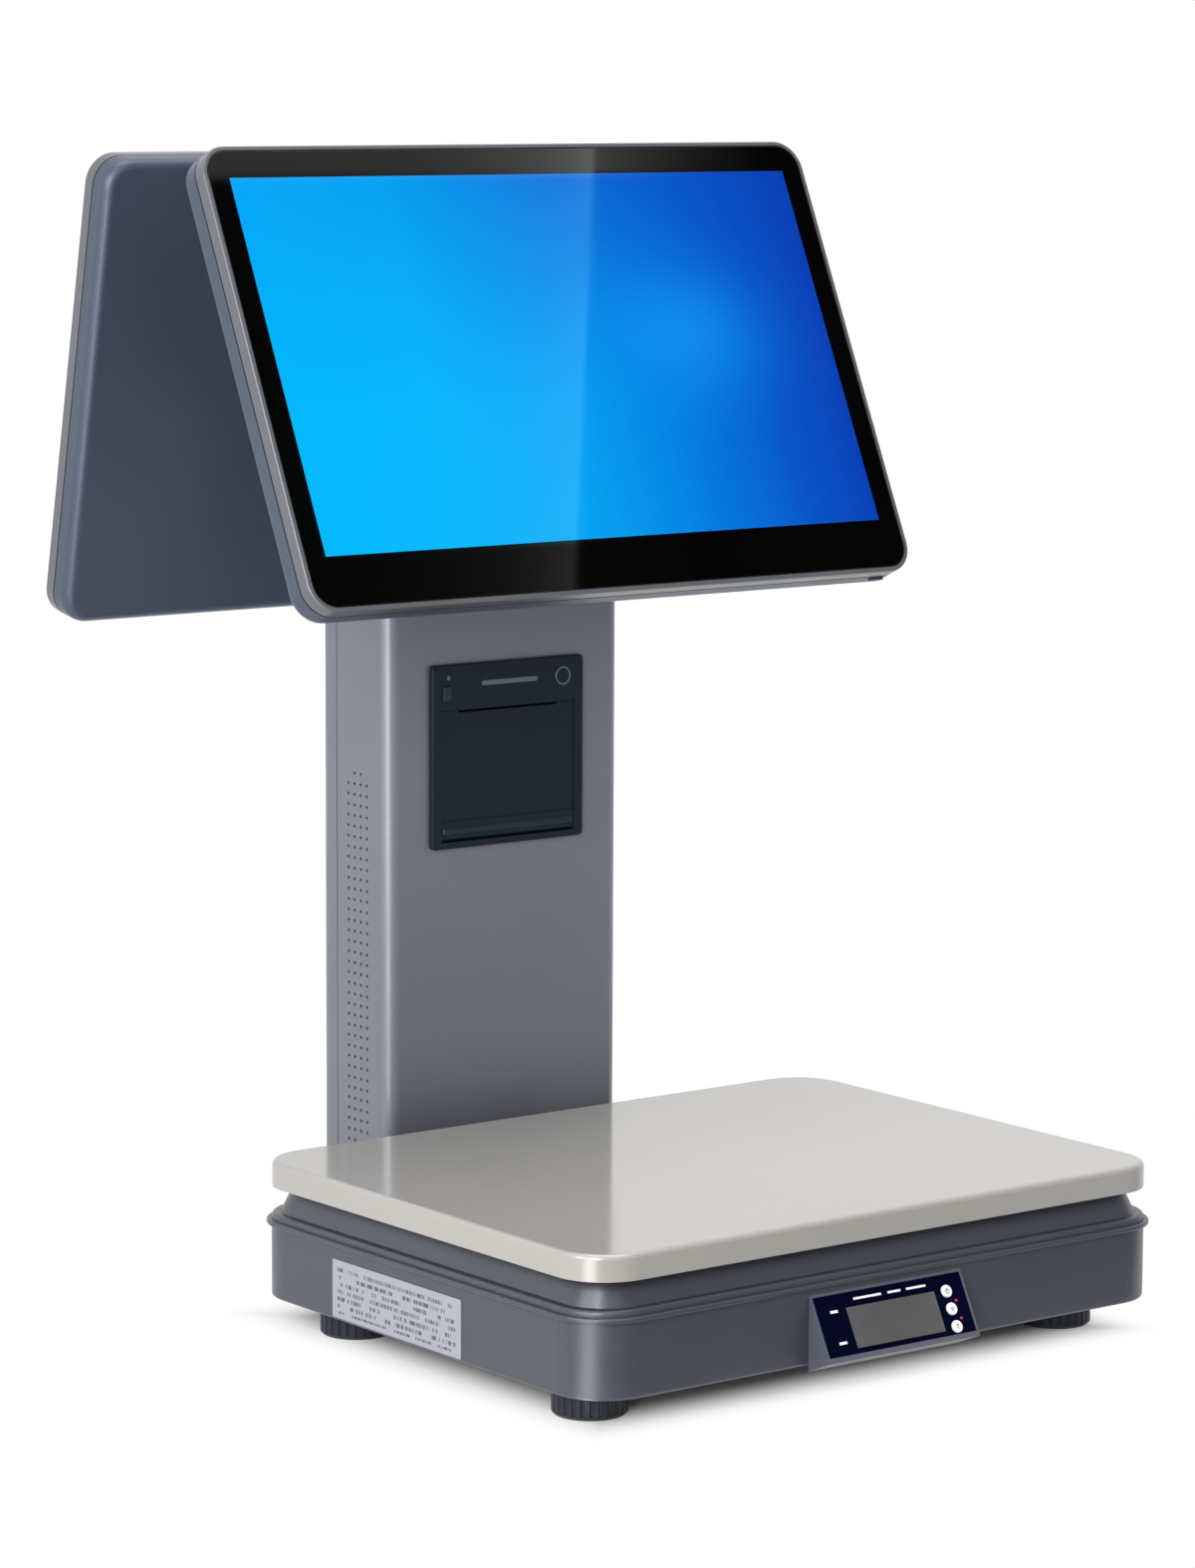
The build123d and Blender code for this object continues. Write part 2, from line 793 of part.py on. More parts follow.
with BuildPart() as display_housing:
    with BuildSketch(Plane.YZ.offset(display_x - display_width / 2)):
        with BuildLine():
            Polyline((front_wall, display_top), (front_wall - display_lean, display_bottom),
                     (front_wall - display_reach, display_bottom - display_lip),
                     (front_wall, display_bottom - display_lip - display_undercut), close=True)
        make_face()
    extrude(amount=display_width)
    with BuildSketch(Plane.YZ.offset(display_x - display_width / 2 + display_wall)):
        with BuildLine():
            Polyline((front_wall, display_top - display_wall * slope_length / display_lean),
                     (inner_corner.Y, inner_corner.Z),
                     (front_wall, display_bottom - display_lip - display_undercut
                      + display_wall * 1.1), close=True)
        make_face()
    extrude(amount=display_width - 2 * display_wall, mode=Mode.SUBTRACT)
    with BuildSketch(on_slope(0, 0, -overlay_drop)):
        Rectangle(overlay_width, overlay_height)
    extrude(amount=-overlay_recess, mode=Mode.SUBTRACT)
    with BuildSketch(on_slope(0, 0, -lcd_drop)):
        Rectangle(lcd_window_width + overlay_gap, lcd_window_height + overlay_gap)
        with Locations(*[(key_offset, i * key_pitch) for i in (-1, 0, 1)]):
            Circle(key_radius + key_gap)
    extrude(amount=-display_wall * 1.6, mode=Mode.SUBTRACT)
save(display_housing, "display_housing")

with BuildPart() as display_overlay:
    with BuildSketch(on_slope(overlay_recess)):
        with Locations((0, -overlay_drop)):
            Rectangle(overlay_width - 2 * overlay_gap, overlay_height - 2 * overlay_gap)
        with Locations((0, -lcd_drop)):
            Rectangle(lcd_window_width + overlay_gap, lcd_window_height + overlay_gap,
                      mode=Mode.SUBTRACT)
        with Locations(*[(key_offset, i * key_pitch - lcd_drop) for i in (-1, 0, 1)]):
            Circle(key_radius + key_gap, mode=Mode.SUBTRACT)
    extrude(amount=overlay_thick)
save(display_overlay, "display_overlay")

with BuildPart() as display_lcd:
    with BuildSketch(on_slope(display_wall, 0, -lcd_drop)):
        Rectangle(lcd_window_width - overlay_gap, lcd_window_height - overlay_gap)
    extrude(amount=display_wall - overlay_recess + overlay_thick - lcd_sunk)
    with BuildSketch(on_slope(display_wall + lcd_thick, 0, -lcd_drop)):
        Rectangle(lcd_window_width + 2 * lcd_rim, lcd_window_height + 2 * lcd_rim)
    extrude(amount=lcd_thick)
save(display_lcd, "display_lcd")

for number in (1, 2, 3):
    with BuildPart() as key:
        with BuildSketch(on_slope(display_wall, key_offset, (2 - number) * key_pitch - lcd_drop)):
            Circle(key_radius)
        extrude(amount=display_wall + key_proud)
        fillet(key.faces().sort_by(Axis(key.part.center(), display_slope.z_dir))[-1].edges(), key_round)
        with BuildSketch(on_slope(display_wall + key_flange, key_offset,
                                  (2 - number) * key_pitch - lcd_drop)):
            Circle(key_radius + key_flange_grow)
        extrude(amount=key_flange)
    save(key, f"scale_key_{number}")

# ---------------------------------------------------------------- rating plate on the left wall
with BuildPart() as rating_plate:
    with BuildSketch(Plane.YZ.offset(-base_width / 2)):
        with Locations((tray_front + plate_setback + plate_length / 2,
                        base_bottom + base_foot_round + plate_height / 2)):
            RectangleRounded(plate_length, plate_height, plate_corner)
    extrude(amount=-plate_thick)
save(rating_plate, "rating_plate")

# ---------------------------------------------------------------- column foot

with BuildPart() as column_foot:
    with BuildSketch(Plane.XY.offset(foot_plate_under)):
        with Locations((0, (foot_front + foot_back) / 2)):
            RectangleRounded(column_width, foot_back - foot_front, column_corner)
        with Locations(*(foot_bolts_base + foot_bolts_spine)):
            Circle(foot_bolt_radius + running_gap, mode=Mode.SUBTRACT)
    extrude(amount=foot_plate)
    chamfer(column_foot.faces().sort_by(Axis.Z)[-1].outer_wire().edges(), foot_bevel)
save(column_foot, "column_foot")

with BuildPart() as foot_bolts:
    with BuildSketch(Plane.XY.offset(foot_plate_under - foot_bolt_head_height)):
        with Locations(*(foot_bolts_base + foot_bolts_spine)):
            Circle(foot_bolt_head)
    extrude(amount=foot_bolt_head_height)
    with BuildSketch(Plane.XY.offset(foot_plate_under)):
        with Locations(*foot_bolts_base):
            Circle(foot_bolt_radius)
    extrude(amount=frame_top - foot_plate_under)
    with BuildSketch(Plane.XY.offset(foot_plate_under)):
        with Locations(*foot_bolts_spine):
            Circle(foot_bolt_radius)
    extrude(amount=foot_plate + spine_end + foot_bolt_past)
save(foot_bolts, "foot_bolts")

with BuildPart() as foot_pads:
    with BuildSketch():
        with Locations((-pad_pitch / 2, foot_back - pad_inset), (pad_pitch / 2, foot_back - pad_inset)):
            Circle(pad_radius)
    extrude(amount=foot_plate_under)
    chamfer(foot_pads.faces().group_by(Axis.Z)[0].edges(), pad_bevel)
save(foot_pads, "foot_pads")

# ---------------------------------------------------------------- column shells
printer_bottom = printer_centre_z - printer_height / 2
printer_opening_width = printer_width - 2 * printer_rim
printer_opening_bottom = printer_bottom + printer_sill_rim
printer_opening_top = printer_bottom + printer_height - printer_rim
seam_y = column_front + seam_from_front


def column_plan(inset, start, end):
    """Plan of the column, inset all round, kept between the stations start and end."""
    with Locations((0, column_mid)):
        RectangleRounded(column_width - 2 * inset, column_depth - 2 * inset, column_corner - inset)
    with Locations((0, (start + end) / 2)):
        Rectangle(column_width, end - start, mode=Mode.INTERSECT)


with BuildPart() as front_shell:
    with BuildSketch(Plane.XY.offset(base_bottom)):
        column_plan(0, column_front, seam_y)
    extrude(amount=column_top - base_bottom)
    with BuildSketch(Plane.XY.offset(base_bottom)):
        column_plan(shell_wall, column_front, seam_y)
    extrude(amount=column_top - base_bottom, mode=Mode.SUBTRACT)
    with BuildSketch(Plane.XZ.offset(-column_front)):
        with Locations((0, (printer_opening_bottom + printer_opening_top) / 2)):
            Rectangle(printer_opening_width, printer_opening_top - printer_opening_bottom)
        with Locations((0, (base_bottom + cable_way_top) / 2)):
            Rectangle(cable_way_width, cable_way_top - base_bottom)
    extrude(amount=-shell_wall, mode=Mode.SUBTRACT)
    with BuildSketch(Plane.YZ.offset(-column_width / 2)):
        with Locations((column_front + vent_centre_y, vent_centre_z)):
            with GridLocations(vent_pitch, vent_pitch, vent_columns, vent_rows):
                Circle(vent_radius)
            with GridLocations(vent_pitch, (vent_rows + 1) * vent_pitch, vent_columns - 2, 2):
                Circle(vent_radius)
    extrude(amount=column_width, mode=Mode.SUBTRACT)
save(front_shell, "front_shell")

cover_screw_places = [(side * (spine_width / 2 - cover_screw_side), column_top - rise)
                      for side in (-1, 1)
                      for rise in (cover_screw_drop, cover_screw_drop + cover_screw_pitch,
                                   cover_screw_drop + 2 * cover_screw_pitch)]
spine_back = column_front + spine_from_front + spine_depth

with BuildPart() as rear_cover:
    with BuildSketch(Plane.XY.offset(base_bottom)):
        column_plan(0, seam_y + seam_gap, column_back)
    extrude(amount=column_top - base_bottom)
    with BuildSketch(Plane.XY.offset(base_bottom)):
        column_plan(cover_wall, seam_y, column_back)
    extrude(amount=column_top - base_bottom, mode=Mode.SUBTRACT)
    with BuildSketch(Plane.XZ.offset(-spine_back)):
        with Locations(*cover_screw_places):
            Circle(cover_boss)
    extrude(amount=-(column_back - cover_wall / 2 - spine_back))
    with BuildSketch(Plane.XZ.offset(-spine_back)):
        with Locations(*cover_screw_places):
            Circle(cover_screw_radius + running_gap)
    extrude(amount=-(column_back - spine_back), mode=Mode.SUBTRACT)
    with BuildSketch(Plane.XZ.offset(-column_back)):
        with Locations(*cover_screw_places):
            Circle(cover_screw_head + cover_screw_slack)
    extrude(amount=screw_sink, both=True, mode=Mode.SUBTRACT)
    with BuildSketch(Plane.XZ.offset(-column_back)):
        with Locations((0, port_height_z)):
            Rectangle(port_window_width, port_window_height)
    extrude(amount=cover_wall, both=True, mode=Mode.SUBTRACT)
save(rear_cover, "rear_cover")

with BuildPart() as cover_screws:
    with BuildSketch(Plane.XZ.offset(-column_back)):
        with Locations(*cover_screw_places):
            Circle(cover_screw_head)
    extrude(amount=screw_sink)
    with BuildSketch(Plane.XZ.offset(-column_back)):
        with Locations(*cover_screw_places):
            Circle(cover_screw_radius)
    extrude(amount=column_back - spine_back + spine_sheet)
save(cover_screws, "cover_screws")

# ---------------------------------------------------------------- spine and what it carries
spine_front = column_front + spine_from_front
spine_mid = (spine_front + spine_back) / 2
spine_face = spine_back - spine_sheet
board_mid_z = board_foot + board_height / 2
board_post_places = [(side * board_post_x, board_mid_z + row * board_post_pitch)
                     for side in (-1, 1) for row in (-1, 0, 1)]

with BuildPart() as side_sheets:
    with BuildSketch(Plane.XY.offset(base_bottom)):
        with Locations((0, spine_mid - spine_sheet / 2)):
            with GridLocations(spine_width - spine_sheet, 1, 2, 1):
                Rectangle(spine_sheet, spine_depth - spine_sheet)
    extrude(amount=spine_top - base_bottom)

with BuildPart() as back_sheet:
    with BuildSketch(Plane.XY.offset(base_bottom)):
        with Locations((0, spine_back - spine_sheet / 2)):
            Rectangle(spine_width, spine_sheet)
    extrude(amount=spine_top - base_bottom)
    with BuildSketch(Plane.XZ.offset(-spine_back)):
        with Locations(*cover_screw_places):
            Circle(cover_screw_radius + running_gap)
    extrude(amount=spine_sheet, mode=Mode.SUBTRACT)

with BuildPart() as spine_foot:
    with BuildSketch(Plane.XY.offset(base_bottom)):
        with Locations((0, spine_mid - spine_sheet / 2)):
            Rectangle(spine_width - 2 * spine_sheet, spine_depth - spine_sheet)
        with Locations(*foot_bolts_spine):
            Circle(foot_bolt_radius + running_gap, mode=Mode.SUBTRACT)
    extrude(amount=spine_end)

with BuildPart() as spine_lid:
    with BuildSketch(Plane.XY.offset(spine_top)):
        with Locations((0, spine_mid)):
            Rectangle(spine_width, spine_depth)
        with Locations((0, column_mid)):
            SlotOverall(spine_slot_length, spine_slot_width, mode=Mode.SUBTRACT)
    extrude(amount=spine_sheet)

with BuildPart() as board_stands:
    with BuildSketch(Plane.XZ.offset(-spine_face)):
        with Locations(*board_post_places):
            Circle(board_post)
    extrude(amount=board_stand)
save_welded((side_sheets, back_sheet, spine_foot, spine_lid, board_stands), "column_spine")

board_back = spine_face - board_stand
board_front = board_back - board_thick

with BuildPart() as mainboard:
    with BuildSketch(Plane.XZ.offset(-board_back)):
        with Locations((0, board_mid_z)):
            Rectangle(board_width, board_height)
    extrude(amount=board_thick)
    with BuildSketch(Plane.XZ.offset(-board_front)):
        with Locations((0, board_mid_z + processor_rise)):
            Rectangle(processor_size, processor_size)
    extrude(amount=chip_thick)
    with BuildSketch(Plane.XZ.offset(-board_front)):
        with Locations((0, board_mid_z - memory_drop)):
            with GridLocations(1, memory_pitch, 1, 2):
                Rectangle(memory_length, memory_thick)
        with Locations((0, board_mid_z - plug_drop)):
            with GridLocations(plug_pitch, 1, 3, 1):
                Rectangle(plug_width, plug_height)
    extrude(amount=socket_thick)
save(mainboard, "mainboard")

sink_back = board_front - chip_thick
with BuildPart() as heat_sink:
    with BuildSketch(Plane.XZ.offset(-sink_back)):
        with Locations((0, board_mid_z + processor_rise)):
            Rectangle(sink_size, sink_size)
    extrude(amount=sink_base)
    with BuildSketch(Plane.XZ.offset(-sink_back + sink_base)):
        with Locations((0, board_mid_z + processor_rise)):
            with GridLocations((sink_size - sink_fin_thick) / (sink_fins - 1), 1, sink_fins, 1):
                Rectangle(sink_fin_thick, sink_size)
    extrude(amount=sink_fin)
save(heat_sink, "heat_sink")

panel_back = column_back - cover_wall
panel_front = panel_back - port_panel_sheet
usb_places = [(usb_x, port_height_z + row * usb_pitch / 2) for row in (-1, 1)]
network_place = (network_x, port_height_z)
power_place = (power_x, port_height_z)

with BuildPart() as port_panel:
    with BuildSketch(Plane.XZ.offset(-panel_back)):
        with Locations((0, port_height_z)):
            Rectangle(port_panel_width, port_panel_height)
    extrude(amount=port_panel_sheet)
    with BuildSketch(Plane.XZ.offset(-panel_front)):
        with Locations(*usb_places):
            Rectangle(usb_shell_width, usb_shell_height)
        with Locations(network_place):
            Rectangle(network_shell_width, network_shell_height)
        with Locations(power_place):
            Rectangle(power_shell, power_shell)
    extrude(amount=port_recess)
    with BuildSketch(Plane.XZ.offset(-panel_back)):
        with Locations(*usb_places):
            Rectangle(usb_mouth_width, usb_mouth_height)
        with Locations(network_place):
            Rectangle(network_mouth_width, network_mouth_height)
        with Locations(power_place):
            Circle(power_mouth_radius)
    extrude(amount=port_recess, mode=Mode.SUBTRACT)
    with BuildSketch(Plane.XZ.offset(-panel_back + port_recess)):
        with Locations(*usb_places):
            Rectangle(usb_tongue_width, usb_tongue_height)
        with Locations(power_place):
            Circle(power_pin_radius)
    extrude(amount=port_contact_back - port_recess)
save(port_panel, "port_panel")

# ---------------------------------------------------------------- column cap and head bracket
bracket_width = 2 * (arm_inner + arm_plate + bracket_margin)
bracket_top = spine_top + spine_sheet + bracket_base
cap_lip_inset = cover_wall + cap_lip_gap

with BuildPart() as top_cap:
    with BuildSketch(Plane.XY.offset(column_top)):
        with Locations((0, column_mid)):
            RectangleRounded(column_width, column_depth, column_corner)
    extrude(amount=cap_height)
    fillet(top_cap.faces().sort_by(Axis.Z)[-1].edges(), cap_round)
    with BuildSketch(Plane.XY.offset(column_top)):
        with Locations((0, column_mid)):
            RectangleRounded(column_width - 2 * cap_lip_inset, column_depth - 2 * cap_lip_inset,
                             column_corner - cover_wall)
            offset(amount=-cover_wall, mode=Mode.SUBTRACT)
    extrude(amount=-cap_lip)
    with BuildSketch(Plane.XY.offset(column_top)):
        with Locations((0, column_mid)):
            Rectangle(bracket_width + 2 * cap_slot_gap, arm_foot_depth + 2 * cap_slot_gap)
    extrude(amount=cap_height, mode=Mode.SUBTRACT)
save(top_cap, "top_cap")

cashier_axis_y = column_front - cashier_reach
customer_axis_y = column_back + customer_reach
arm_places = (-arm_inner - arm_plate, arm_inner)

with BuildPart() as head_bracket:
    with BuildSketch(Plane.XY.offset(bracket_top - bracket_base)):
        with Locations((0, column_mid)):
            RectangleRounded(bracket_width, arm_foot_depth, bracket_corner)
            SlotOverall(bracket_slot_length, bracket_slot_width, mode=Mode.SUBTRACT)
    extrude(amount=bracket_base)
    for arm_x in arm_places:
        with BuildSketch(Plane.YZ.offset(arm_x)):
            with Locations((cashier_axis_y, cashier_axis_z), (customer_axis_y, customer_axis_z)):
                Circle(arm_radius)
            make_hull()
            with Locations((column_mid, (bracket_top - bracket_base + customer_axis_z) / 2)):
                Rectangle(arm_foot_depth, customer_axis_z - bracket_top + bracket_base)
            with Locations((cashier_axis_y, cashier_axis_z), (customer_axis_y, customer_axis_z)):
                Circle(pin_radius + running_gap, mode=Mode.SUBTRACT)
        extrude(amount=arm_plate)
    with BuildSketch(Plane.XY.offset(cashier_axis_z - arm_radius - web_thick / 2)):
        with Locations((0, column_mid)):
            Rectangle(2 * arm_inner, arm_foot_depth)
    extrude(amount=web_thick)
save(head_bracket, "head_bracket")

with BuildPart() as hinge_pins:
    for axis_y, axis_z in ((cashier_axis_y, cashier_axis_z), (customer_axis_y, customer_axis_z)):
        for side in (-1, 1):
            with BuildSketch(Plane.YZ.offset(side * (ear_inner - pin_nut_height - pin_slack))):
                with Locations((axis_y, axis_z)):
                    Circle(pin_radius)
            extrude(amount=side * (arm_inner + arm_plate - ear_inner + pin_nut_height + pin_slack))
            with BuildSketch(Plane.YZ.offset(side * arm_inner)):
                with Locations((axis_y, axis_z)):
                    Circle(pin_collar)
            extrude(amount=-side * (arm_inner - ear_inner - ear_plate - pin_slack))
            with BuildSketch(Plane.YZ.offset(side * (ear_inner - pin_slack))):
                with Locations((axis_y, axis_z)):
                    RegularPolygon(pin_nut_width / 2, 6, major_radius=False)
            extrude(amount=-side * pin_nut_height)
save(hinge_pins, "hinge_pins")

# ---------------------------------------------------------------- receipt printer
bezel_front = column_front - printer_proud
door_bottom_edge = printer_bottom + door_sill
door_top_edge = door_bottom_edge + door_opening
door_half = printer_opening_width / 2 - sleeve_gap - sleeve_wall
door_low = door_bottom_edge + door_gap
door_high = door_top_edge - door_gap
door_pivot_z = door_low + door_thick / 2
door_front = column_front - door_thick / 2
door_back = column_front + door_thick / 2
button_back = column_front + button_flange
lever_z = printer_centre_z + lever_rise
feed_z = printer_centre_z + feed_rise
lamp_z = printer_centre_z + lamp_rise
dot_z = printer_centre_z + dot_rise
sleeve_low = printer_opening_bottom + sleeve_gap
sleeve_high = printer_opening_top - sleeve_gap

with BuildPart() as printer_bezel:
    with BuildSketch(Plane.XZ.offset(-column_front)):
        with Locations((0, printer_centre_z)):
            RectangleRounded(printer_width, printer_height, printer_corner)
    extrude(amount=printer_proud)
    fillet(printer_bezel.faces().sort_by(Axis.Y)[0].edges(), printer_edge)
    with BuildSketch(Plane.XZ.offset(-column_front)):
        with Locations((0, (sleeve_low + sleeve_high) / 2)):
            Rectangle(2 * (door_half + sleeve_wall), sleeve_high - sleeve_low)
        with Locations((0, (door_bottom_edge + sleeve_high - sleeve_roof) / 2)):
            Rectangle(2 * door_half, sleeve_high - sleeve_roof - door_bottom_edge, mode=Mode.SUBTRACT)
    extrude(amount=-printer_sleeve)
    with BuildSketch(Plane.XZ.offset(-bezel_front)):
        with Locations((0, (door_bottom_edge + door_top_edge) / 2)):
            Rectangle(2 * door_half, door_opening)
        with Locations((feed_x, feed_z)):
            Circle(feed_radius + button_gap)
        with Locations((lever_x, lever_z)):
            RectangleRounded(lever_width + 2 * button_gap, lever_height + 2 * button_gap,
                             lever_corner + button_gap)
        with Locations((lamp_x, lamp_z)):
            SlotOverall(lamp_length + 2 * running_gap, lamp_height + 2 * running_gap)
        with Locations((dot_x, dot_z)):
            Circle(dot_radius + running_gap)
    extrude(amount=-printer_proud, mode=Mode.SUBTRACT)
    with BuildSketch(Plane.YZ.offset(-door_half - door_peg_length)):
        with Locations((column_front, door_pivot_z)):
            Circle(door_peg_radius + running_gap)
    extrude(amount=2 * (door_half + door_peg_length), mode=Mode.SUBTRACT)
save(printer_bezel, "printer_bezel")

platen_y = column_front + platen_back
platen_z = door_pivot_z + platen_rise
ear_x = platen_length / 2 + ear_side_gap

with BuildPart() as printer_door:
    with BuildSketch(Plane.XZ.offset(-door_back)):
        with Locations((0, (door_pivot_z + door_high) / 2)):
            Rectangle(2 * (door_half - door_gap), door_high - door_pivot_z)
    extrude(amount=door_thick)
    with BuildSketch(Plane.YZ.offset(-door_half + door_gap)):
        with Locations((column_front, door_pivot_z)):
            Circle(door_thick / 2)
    extrude(amount=2 * (door_half - door_gap))
    with BuildSketch(Plane.YZ.offset(-door_half - door_peg_length + door_gap)):
        with Locations((column_front, door_pivot_z)):
            Circle(door_peg_radius)
    extrude(amount=2 * (door_half + door_peg_length - door_gap))
    with BuildSketch(Plane.XZ.offset(-door_back)):
        with Locations((0, door_high)):
            Rectangle(slot_width, 2 * door_notch)
    extrude(amount=door_thick, mode=Mode.SUBTRACT)
    with BuildSketch(Plane.XZ.offset(-door_front)):
        with Locations((0, door_low + door_groove_rise)):
            Rectangle(2 * door_half, door_groove_width)
    extrude(amount=-door_groove_depth, mode=Mode.SUBTRACT)
    for ear_side in (-ear_x - ear_thick, ear_x):
        with BuildSketch(Plane.YZ.offset(ear_side)):
            with Locations((platen_y, platen_z)):
                Circle(ear_round)
            with Locations(((door_back - ear_root + platen_y) / 2, platen_z)):
                Rectangle(platen_y - door_back + ear_root, 2 * ear_round)
            with Locations((platen_y, platen_z)):
                Circle(platen_shaft + running_gap, mode=Mode.SUBTRACT)
        extrude(amount=ear_thick)
save(printer_door, "printer_door")

with BuildPart() as platen_roller:
    with BuildSketch(Plane.YZ.offset(-platen_length / 2)):
        with Locations((platen_y, platen_z)):
            Circle(platen_radius)
    extrude(amount=platen_length)
    with BuildSketch(Plane.YZ.offset(-ear_x - ear_thick)):
        with Locations((platen_y, platen_z)):
            Circle(platen_shaft)
    extrude(amount=2 * (ear_x + ear_thick))
save(platen_roller, "platen_roller")

bucket_front = door_back + bucket_door_gap
bucket_inside = 2 * (roll_width / 2 + bucket_side_gap)
bucket_floor = door_pivot_z + bucket_rise
bucket_high = bucket_floor + bucket_height
roll_y = door_back + roll_door_gap + roll_radius
roll_z = bucket_floor + bucket_wall + roll_floor_gap + roll_radius

with BuildPart() as paper_bucket:
    with BuildSketch(Plane.XZ.offset(-bucket_front)):
        with Locations((0, (bucket_floor + bucket_high) / 2)):
            Rectangle(bucket_inside + 2 * bucket_wall, bucket_high - bucket_floor)
    extrude(amount=-(spine_face - bucket_front))
    with BuildSketch(Plane.XZ.offset(-bucket_front)):
        with Locations((0, (bucket_floor + bucket_high) / 2)):
            Rectangle(2 * (door_half - sleeve_gap), bucket_high - bucket_floor)
    extrude(amount=-bucket_wall)
    with BuildSketch(Plane.XZ.offset(-bucket_front)):
        with Locations((0, (bucket_floor + bucket_wall + bucket_high) / 2)):
            Rectangle(bucket_inside, bucket_high - bucket_floor - bucket_wall)
    extrude(amount=-(spine_face - bucket_wall - bucket_front), mode=Mode.SUBTRACT)
save(paper_bucket, "paper_bucket")

with BuildPart() as paper_roll:
    with BuildSketch(Plane.YZ.offset(-roll_width / 2)):
        with Locations((roll_y, roll_z)):
            Circle(roll_radius)
            Circle(roll_core, mode=Mode.SUBTRACT)
    extrude(amount=roll_width)
save(paper_roll, "paper_roll")

head_front = platen_y + platen_radius + head_gap
with BuildPart() as print_head:
    with BuildSketch(Plane.XZ.offset(-head_front)):
        with Locations((0, door_top_edge - head_drop)):
            Rectangle(platen_length + ear_side_gap, head_height)
        with Locations((0, door_top_edge + head_flange / 2)):
            Rectangle(2 * (door_half - sleeve_gap), head_flange)
    extrude(amount=-head_thick)
save(print_head, "print_head")

with BuildPart() as tear_bar:
    with BuildSketch(Plane.XZ.offset(-column_front)):
        with Locations((0, door_top_edge + tear_rise)):
            Rectangle(slot_width - 2 * tear_side_gap, tear_height)
        with Locations((0, door_top_edge - tear_tooth_drop)):
            with GridLocations(tear_pitch, 1, tear_teeth, 1):
                Rectangle(tear_tooth, tear_tooth, rotation=45, mode=Mode.SUBTRACT)
    extrude(amount=-tear_thick)
save(tear_bar, "tear_bar")

with BuildPart() as feed_button:
    with BuildSketch(Plane.XZ.offset(-column_front)):
        with Locations((feed_x, feed_z)):
            Circle(feed_radius)
    extrude(amount=printer_proud + feed_proud)
    fillet(feed_button.faces().sort_by(Axis.Y)[0].edges(), button_edge)
    with BuildSketch(Plane.XZ.offset(-button_back)):
        with Locations((feed_x, feed_z)):
            Rectangle(2 * (feed_radius + button_lip), feed_radius)
    extrude(amount=button_flange)
save(feed_button, "feed_button")

with BuildPart() as open_lever:
    with BuildSketch(Plane.XZ.offset(-column_front)):
        with Locations((lever_x, lever_z)):
            RectangleRounded(lever_width, lever_height, lever_corner)
    extrude(amount=printer_proud + lever_proud)
    fillet(open_lever.faces().sort_by(Axis.Y)[0].edges(), button_edge)
    with BuildSketch(Plane.XZ.offset(-button_back)):
        with Locations((lever_x, lever_z - button_lip / 2)):
            Rectangle(lever_width, lever_height + button_lip)
    extrude(amount=button_flange)
save(open_lever, "open_lever")

with BuildPart() as light_pipes:
    with BuildSketch(Plane.XZ.offset(-column_front)):
        with Locations((lamp_x, lamp_z)):
            SlotOverall(lamp_length, lamp_height)
        with Locations((dot_x, dot_z)):
            Circle(dot_radius)
    extrude(amount=printer_proud - lamp_sunk)
    with BuildSketch(Plane.XZ.offset(-button_back)):
        with Locations((lamp_x, lamp_z)):
            Rectangle(lamp_length + 2 * lamp_lip, lamp_height + 2 * lamp_lip)
    extrude(amount=button_flange)
save(light_pipes, "light_pipes")

# ---------------------------------------------------------------- screens
axis_to_back = hinge_gap
axis_to_frame = hinge_gap + screen_shell_depth
axis_to_front = hinge_gap + screen_depth
glass_seat = axis_to_front - glass_sunk - glass_thick


